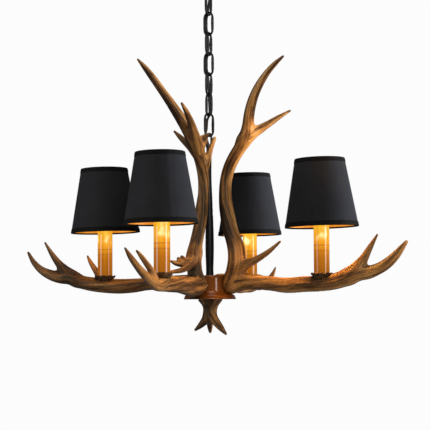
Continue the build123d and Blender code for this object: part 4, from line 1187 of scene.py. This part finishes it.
def shade_frame(name):
    """Top ring, three spider arms, button and four sprung clip wires."""
    cx, cy = lamp_xy(name)
    r0, r1 = SHADE_R[name]
    top_r = r0 + (r1 - r0) * (SHADE_Z1 - 2 - SHADE_Z0) / (SHADE_Z1 - SHADE_Z0) - SHADE_T - 1.35
    turn = math.radians(LIGHTS[name])
    parts = [ring_arrays(cx, cy, SHADE_Z1 - 1.6, top_r, 1.2)]
    parts.append(lathe_arrays([(0, -388.6), (3.0, -388.6), (3.4, -388.2), (3.4, -384.8), (2.8, -384.2), (0, -383.9)], 32, cx, cy, closed=False))
    clip = np.array([(1.9, -387.0), (4.6, -389.2), (7.6, -393.8), (12.4, -404.5), (16.6, -417.5), (18.6, -429.0), (19.2, -438.0)])
    t = np.linspace(0, len(clip) - 1, 40)
    k = np.arange(len(clip))
    for j in range(4):
        a = turn + math.radians(45 + 90 * j)
        r, z = hermite(k.astype(float), clip[:, 0], slopes(k.astype(float), clip[:, 0]), t), hermite(k.astype(float), clip[:, 1], slopes(k.astype(float), clip[:, 1]), t)
        parts.append(tube_arrays(np.stack([cx + r * np.cos(a), cy + r * np.sin(a), z], -1), np.full(40, 0.9), 10))
    for j in range(3):
        a = turn + math.radians(30 + 120 * j)
        w = np.linspace(0, 1, 14)
        r = 1.8 + (top_r - 1.2 - 1.8) * w
        z = -386.3 + (SHADE_Z1 - 2.0 + 386.3) * w - 1.6 * np.sin(np.pi * w)
        parts.append(tube_arrays(np.stack([cx + r * np.cos(a), cy + r * np.sin(a), z], -1), np.full(14, 1.0), 10))
    verts, faces = [], []
    for v, f in parts:
        n0 = len(verts)
        verts += [tuple(p) for p in np.asarray(v, float)]
        faces += [tuple(i + n0 for i in q) for q in f]
    ob = mesh_object(f"shade_wires_{name}", lean(name, verts), faces)
    recalc_outside(ob)
    set_material(ob, MAT["brass"])
    piece(ob, f"shade_{name}", "shade_wire", f"shade_frame_{name}")


def shade(name):
    cx, cy = lamp_xy(name)
    segs = 144
    r0, r1 = SHADE_R[name]

    def shade_radius(z):
        return r0 + (r1 - r0) * (z - SHADE_Z0) / (SHADE_Z1 - SHADE_Z0)

    # lower hem, wall, upper hem on the outside, then the lining back down
    band0, band1 = 8.0, 7.6
    pts = []
    pts += [(shade_radius(SHADE_Z0) - 0.2, SHADE_Z0 - 0.35, "trim"), (shade_radius(SHADE_Z0) + 0.45, SHADE_Z0 + 0.1, "trim"), (shade_radius(SHADE_Z0) + 0.62, SHADE_Z0 + 0.8, "trim")]
    for i in range(1, 6):
        z = SHADE_Z0 + 0.8 + (band0 - 1.4) * i / 5
        pts.append((shade_radius(z) + 0.62 + 0.10 * math.sin(math.pi * i / 5), z, "trim"))
    pts += [(shade_radius(SHADE_Z0 + band0) + 0.45, SHADE_Z0 + band0 - 0.15, "trim"), (shade_radius(SHADE_Z0 + band0) - 0.02, SHADE_Z0 + band0 + 0.15, "trim"), (shade_radius(SHADE_Z0 + band0 + 0.4), SHADE_Z0 + band0 + 0.4, "fabric")]
    for i in range(1, 16):
        z = SHADE_Z0 + band0 + (SHADE_Z1 - SHADE_Z0 - band0 - band1) * i / 16
        pts.append((shade_radius(z), z, "fabric"))
    pts += [(shade_radius(SHADE_Z1 - band1) - 0.02, SHADE_Z1 - band1 - 0.15, "fabric"), (shade_radius(SHADE_Z1 - band1) + 0.45, SHADE_Z1 - band1 + 0.15, "trim")]
    for i in range(1, 5):
        z = SHADE_Z1 - band1 + 0.5 + (band1 - 1.2) * i / 5
        pts.append((shade_radius(z) + 0.62, z, "trim"))
    pts += [(shade_radius(SHADE_Z1) + 0.45, SHADE_Z1 - 0.15, "trim"), (shade_radius(SHADE_Z1) - 0.1, SHADE_Z1 + 0.35, "trim"), (shade_radius(SHADE_Z1) - 0.9, SHADE_Z1 + 0.3, "trim"),
            (shade_radius(SHADE_Z1) - SHADE_T - 0.35, SHADE_Z1 - 0.3, "trim"), (shade_radius(SHADE_Z1 - 5) - SHADE_T - 0.35, SHADE_Z1 - 5, "trim"), (shade_radius(SHADE_Z1 - 5.2) - SHADE_T, SHADE_Z1 - 5.2, "trim")]
    for i in range(1, 14):
        z = SHADE_Z1 - 5.2 + (SHADE_Z0 + 2.5 - SHADE_Z1 + 5.2) * i / 14
        pts.append((shade_radius(z) - SHADE_T, z, "lining"))
    # the tape folded in and rolled on the wire at the lower edge
    hem = [(2.5, 0.0, "lining"), (2.3, 0.30, "trim"), (1.2, 0.55, "trim"), (0.6, 0.5, "trim"), (0.1, 0.3, "trim"), (-0.2, 0.0, "trim")]
    pts += [(shade_radius(SHADE_Z0 + dz) - SHADE_T - dr, SHADE_Z0 + dz, k) for dz, dr, k in hem]
    prof = [(r, z) for r, z, _ in pts]
    v, f = lathe_arrays(prof, segs, cx, cy)
    v = np.array(v)
    # the cloth's lap seam, at the back of each shade
    out_dir = math.radians(LIGHTS[name]) + math.radians(40)
    ang = np.arctan2(v[:, 1] - cy, v[:, 0] - cx)
    dist = np.abs((ang - out_dir + math.pi) % (2 * math.pi) - math.pi) * 54
    rr = np.hypot(v[:, 0] - cx, v[:, 1] - cy)
    lap = np.clip(1 - (dist - 4.0) / 1.2, 0, 1) * 0.35
    is_out = rr > np.array([shade_radius(z) for z in v[:, 2]]) - 0.3
    grow = np.where(is_out, lap, 0) / np.maximum(rr, 1)
    v[:, 0] += (v[:, 0] - cx) * grow
    v[:, 1] += (v[:, 1] - cy) * grow
    ob = mesh_object(f"shade_cover_{name}", lean(name, v), f)
    ob.data.set_sharp_from_angle(angle=math.radians(32))
    order = {"fabric": 0, "trim": 1, "lining": 2}
    kinds = [order[k] for _, _, k in pts]
    mi = []
    for i in range(len(pts)):
        a, b = kinds[i], kinds[(i + 1) % len(pts)]
        mi += [a if a == b else (1 if 1 in (a, b) else a)] * segs
    set_material(ob, MAT["fabric"], MAT["trim"], MAT["lining"])
    ob.data.polygons.foreach_set("material_index", mi)
    recalc_outside(ob)
    uv_from_lathe(ob, cx, cy)
    piece(ob, f"shade_{name}", "shade_fabric", f"shade_{name}")


def cup(name, seed):
    cx, cy = lamp_xy(name)
    segs = 120
    prof = [(10.0, -582.5), (13.2, -581.0), (15.4, -578.6), (17.8, -575.8), (19.4, -573.4), (20.0, -572.0), (19.5, -571.3), (17.9, -571.6), (15.9, -572.4), (14.6, -573.2), (14.2, -574.5), (13.0, -575.6), (9.0, -576.0)]
    dense = []
    for (r0, z0), (r1, z1) in zip(prof, prof[1:]):
        for i in range(3):
            dense.append((r0 + (r1 - r0) * i / 3, z0 + (z1 - z0) * i / 3))
    dense.append(prof[-1])
    v, f = lathe_arrays(dense, segs, cx, cy)
    v = np.array(v)
    a = np.arctan2(v[:, 1] - cy, v[:, 0] - cx)
    rr = np.hypot(v[:, 0] - cx, v[:, 1] - cy)
    lobes = noise3(np.stack([np.cos(a) * 2.7 + seed, np.sin(a) * 2.7, v[:, 2] / 30], -1))
    fine = noise3(np.stack([v[:, 0] / 2.6, v[:, 1] / 2.6, v[:, 2] / 2.6 + seed], -1))
    out = smoothstep(rr, 13.9, 15.6)
    push = out * (2.3 * lobes + 0.8 * fine - 0.2)
    push = np.clip(push, -2.6, 1.6)
    v[:, 0] += np.cos(a) * push
    v[:, 1] += np.sin(a) * push
    v[:, 2] += out * (0.9 * fine + 1.1 * lobes) * (v[:, 2] > -576)
    ob = mesh_object(f"burr_cup_{name}", v, f)
    recalc_outside(ob)
    set_material(ob, MAT["burr"])
    piece(ob, "fixture", "burr_cup", f"candle_cup_{name}")


def sleeve(name):
    cx, cy = lamp_xy(name)
    prof = [(14.0, -576.0)] + [(14.0, -576.0 + 103.3 * i / 24) for i in range(1, 25)] + [(13.9, -471.9), (13.6, -471.5), (13.1, -471.6), (12.8, -472.0), (12.8, -540.0), (12.8, -576.0)]
    v, f = lathe_arrays(prof, 96, cx, cy)
    ob = mesh_object(f"amber_tube_{name}", v, f)
    recalc_outside(ob)
    set_material(ob, MAT["amber"])
    piece(ob, "fixture", "amber_sleeve", f"candle_sleeve_{name}")


def bulb(name):
    cx, cy = lamp_xy(name)
    prof = [(0, -393.4), (0.9, -394.2), (1.6, -396.0), (2.4, -399.5), (4.2, -404.5), (7.0, -410.5), (10.4, -417.5), (13.6, -425.0), (15.9, -432.5), (17.0, -440.0),
            (16.9, -447.0), (15.6, -454.0), (13.2, -460.5), (10.2, -466.5), (7.6, -470.5), (6.2, -472.6), (5.9, -473.4), (0, -473.4)]
    v, f = lathe_arrays(prof, 72, cx, cy, closed=False)
    ob = mesh_object(f"bulb_glass_{name}", v, f)
    recalc_outside(ob)
    set_material(ob, MAT["bulb"])
    piece(ob, f"bulb_{name}", "bulb_glass", f"bulb_{name}")
    cap = [(0, -473.5), (5.9, -473.5), (5.9, -475.0)]
    for i in range(4):
        z = -475.4 - 3.2 * i
        cap += [(5.3, z), (5.85, z - 0.9), (5.85, z - 1.5), (5.3, z - 2.4)]
    cap += [(5.4, -488.4), (3.2, -490.4), (2.4, -491.4), (1.2, -491.8), (0, -491.8)]
    v, f = lathe_arrays(cap, 48, cx, cy, closed=False)
    ob = mesh_object(f"bulb_cap_{name}", v, f)
    recalc_outside(ob)
    set_material(ob, MAT["brass"])
    piece(ob, f"bulb_{name}", "brass")


for i, name in enumerate(LIGHTS):
    shade(name)
    shade_frame(name)
    cup(name, 3.7 * i + 1.3)
    sleeve(name)
    bulb(name)


# ---------------------------------------------------------------- floor, world and studio lights
def floor():
    segs, rings = 96, [0.0, 0.5, 1.0, 2.0, 3.5, 5.5, 8.0, 12.0]
    verts, faces = [(0, 0, -2.6)], []
    for r in rings[1:]:
        for i in range(segs):
            a = 2 * math.pi * i / segs
            verts.append((r * math.cos(a), r * math.sin(a), -2.6))
    for i in range(segs):
        faces.append((0, 1 + i, 1 + (i + 1) % segs))
    for k in range(len(rings) - 2):
        for i in range(segs):
            a, b = 1 + k * segs + i, 1 + k * segs + (i + 1) % segs
            faces.append((a, a + segs, b + segs, b))
    me = bpy.data.meshes.new("floor")
    me.from_pydata(verts, [], faces)
    ob = bpy.data.objects.new("floor", me)
    scene.collection.objects.link(ob)
    m = Nodes("floor_paint").set(Specular_IOR_Level=0.2, Roughness=0.8)
    n = m.noise(m.coords(), 1.5, 3.0, 0.5)
    m.to(m.ramp(n, [(0.3, (0.80, 0.80, 0.80)), (0.7, (0.83, 0.83, 0.825))]), "Base Color")
    set_material(ob, m.mat)


floor()
scene.view_settings.view_transform = "Standard"
scene.view_settings.look = "None"
world = bpy.data.worlds.new("studio")
scene.world = world
world.use_nodes = True
wn = world.node_tree
wn.nodes.clear()
wout = wn.nodes.new("ShaderNodeOutputWorld")
seen, lit = wn.nodes.new("ShaderNodeBackground"), wn.nodes.new("ShaderNodeBackground")
seen.inputs[0].default_value, seen.inputs[1].default_value = (1.0, 1.0, 1.0, 1), 0.975
lit.inputs[0].default_value, lit.inputs[1].default_value = (1.0, 1.0, 1.0, 1), 0.13
path, pick = wn.nodes.new("ShaderNodeLightPath"), wn.nodes.new("ShaderNodeMixShader")
wn.links.new(path.outputs["Is Camera Ray"], pick.inputs[0])
wn.links.new(lit.outputs[0], pick.inputs[1])
wn.links.new(seen.outputs[0], pick.inputs[2])
wn.links.new(pick.outputs[0], wout.inputs[0])


def softbox(name, turn, elevation, distance, size, watts, color=(1, 1, 1), target=(0, 0, -0.45)):
    """An area light at an angle to the camera's own direction, aimed at the object."""
    a, e = CAM_AZ + math.radians(turn), math.radians(elevation)
    t = Vector(target)
    at = t + Vector((math.sin(a) * math.cos(e), -math.cos(a) * math.cos(e), math.sin(e))) * distance
    data = bpy.data.lights.new(name, "AREA")
    data.shape = "RECTANGLE"
    data.size, data.size_y = size
    data.energy = watts
    data.color = color
    ob = bpy.data.objects.new(name, data)
    ob.location = at
    ob.rotation_mode = "QUATERNION"
    ob.rotation_quaternion = (t - at).to_track_quat("-Z", "Y")
    ob.visible_camera = False
    scene.collection.objects.link(ob)
    return ob


def only(light, keep, glossy=False, diffuse=True):
    """Limits a light to some objects, and to their matte or glossy shading."""
    group = bpy.data.collections.new(light.name + "_lit")
    for ob in keep:
        group.objects.link(ob)
    light.light_linking.receiver_collection = group
    light.visible_glossy, light.visible_diffuse = glossy, diffuse


def named(*starts):
    return [o for o in scene.objects if o.type == "MESH" and o.name.startswith(starts)]


CLOTH = named("shade_cover_")
HUB = named("hub_shell", "hub_foot")
REST = [o for o in scene.objects if o.type == "MESH" and o not in CLOTH and o.name != "floor"]
SHINY = [o for o in REST if o not in HUB and o.name != "centre_rod"] + CLOTH
only(softbox("key_cloth", 99, 4, 2.6, (1.6, 1.8), 620, (0.94, 0.98, 1.05)), [o for o in CLOTH if "left" not in o.name])
only(softbox("left_cloth", -80, 4, 2.6, (1.8, 1.8), 90, (0.98, 0.99, 1.0)), named("shade_cover_left", "shade_cover_front", "shade_cover_right"))
only(softbox("key", 74, 6, 2.6, (0.50, 1.8), 125, (1.0, 0.97, 0.93)), REST)
softbox("fill", 10, 20, 2.8, (1.2, 1.2), 38)
only(softbox("left_strip", -68, 4, 2.3, (0.95, 1.8), 24), SHINY, True, False)
only(softbox("right_strip", 62, 2, 2.4, (0.95, 1.6), 43), SHINY, True, False)
only(softbox("hub_strip_right", 37, -4, 2.4, (0.40, 0.6), 8.0, (1, 1, 1), (0, 0, -0.60)), HUB, True, False)
only(softbox("hub_strip_left", -23, -4, 2.4, (0.70, 0.6), 2.6, (1, 1, 1), (0, 0, -0.60)), HUB, True, False)
softbox("top", 0, 84, 2.2, (1.6, 1.6), 22)
only(softbox("back", 180, 10, 2.8, (1.6, 1.6), 42, (1.0, 0.98, 0.95)), REST + CLOTH)
sky_data = bpy.data.lights.new("floor_light", "SUN")
sky_data.energy, sky_data.angle = 3.3, math.radians(60)
sky_data.cycles.max_bounces = 0
sky = bpy.data.objects.new("floor_light", sky_data)
scene.collection.objects.link(sky)
only(sky, named("floor"))


def accent(name, turn, elevation, distance, cone, watts, color, target):
    """A narrow warm spot on one place."""
    a, e = CAM_AZ + math.radians(turn), math.radians(elevation)
    t = Vector(target)
    at = t + Vector((math.sin(a) * math.cos(e), -math.cos(a) * math.cos(e), math.sin(e))) * distance
    data = bpy.data.lights.new(name, "SPOT")
    data.energy, data.color = watts, color
    data.spot_size, data.spot_blend, data.shadow_soft_size = math.radians(cone), 1.0, 0.03
    ob = bpy.data.objects.new(name, data)
    ob.location = at
    ob.rotation_mode = "QUATERNION"
    ob.rotation_quaternion = (t - at).to_track_quat("-Z", "Y")
    scene.collection.objects.link(ob)


accent("fork_glow", 48, -14, 1.2, 7.5, 50, (1.0, 0.55, 0.17), (0.070, -0.004, -0.330))
LAMP_UP = {"left": 0.15, "front": 0.12, "back": 0.35, "right": 0.25}
LAMP_DOWN = {"left": 0.22, "front": 0.35, "back": 0.7, "right": 1.4}


def lamp_light(name):
    """Warm light of one lamp: a spot out of the shade's top and a disc out of its lower edge."""
    x, y = (v * MM for v in lamp_xy(name))
    up_data = bpy.data.lights.new(f"lamp_up_{name}", "SPOT")
    up_data.energy, up_data.color = LAMP_UP[name], (1.0, 0.50, 0.14)
    up_data.spot_size, up_data.spot_blend, up_data.shadow_soft_size = math.radians(92), 0.7, 0.02
    ob = bpy.data.objects.new(f"lamp_up_{name}", up_data)
    ob.location = (x, y, -0.378)
    ob.rotation_euler = (math.pi, 0, 0)
    ob.visible_camera = False
    scene.collection.objects.link(ob)
    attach(ob, f"shade_{name}")
    down = bpy.data.lights.new(f"lamp_down_{name}", "AREA")
    down.shape, down.size = "DISK", 0.085
    down.energy, down.color = LAMP_DOWN[name], (1.0, 0.60, 0.19)
    ob = bpy.data.objects.new(f"lamp_down_{name}", down)
    ob.location = (x, y, -0.482)
    ob.visible_camera = False
    scene.collection.objects.link(ob)
    only(ob, [o for o in REST if not o.name.startswith("amber_tube")])
    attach(ob, f"shade_{name}")


for name in LIGHTS:
    lamp_light(name)
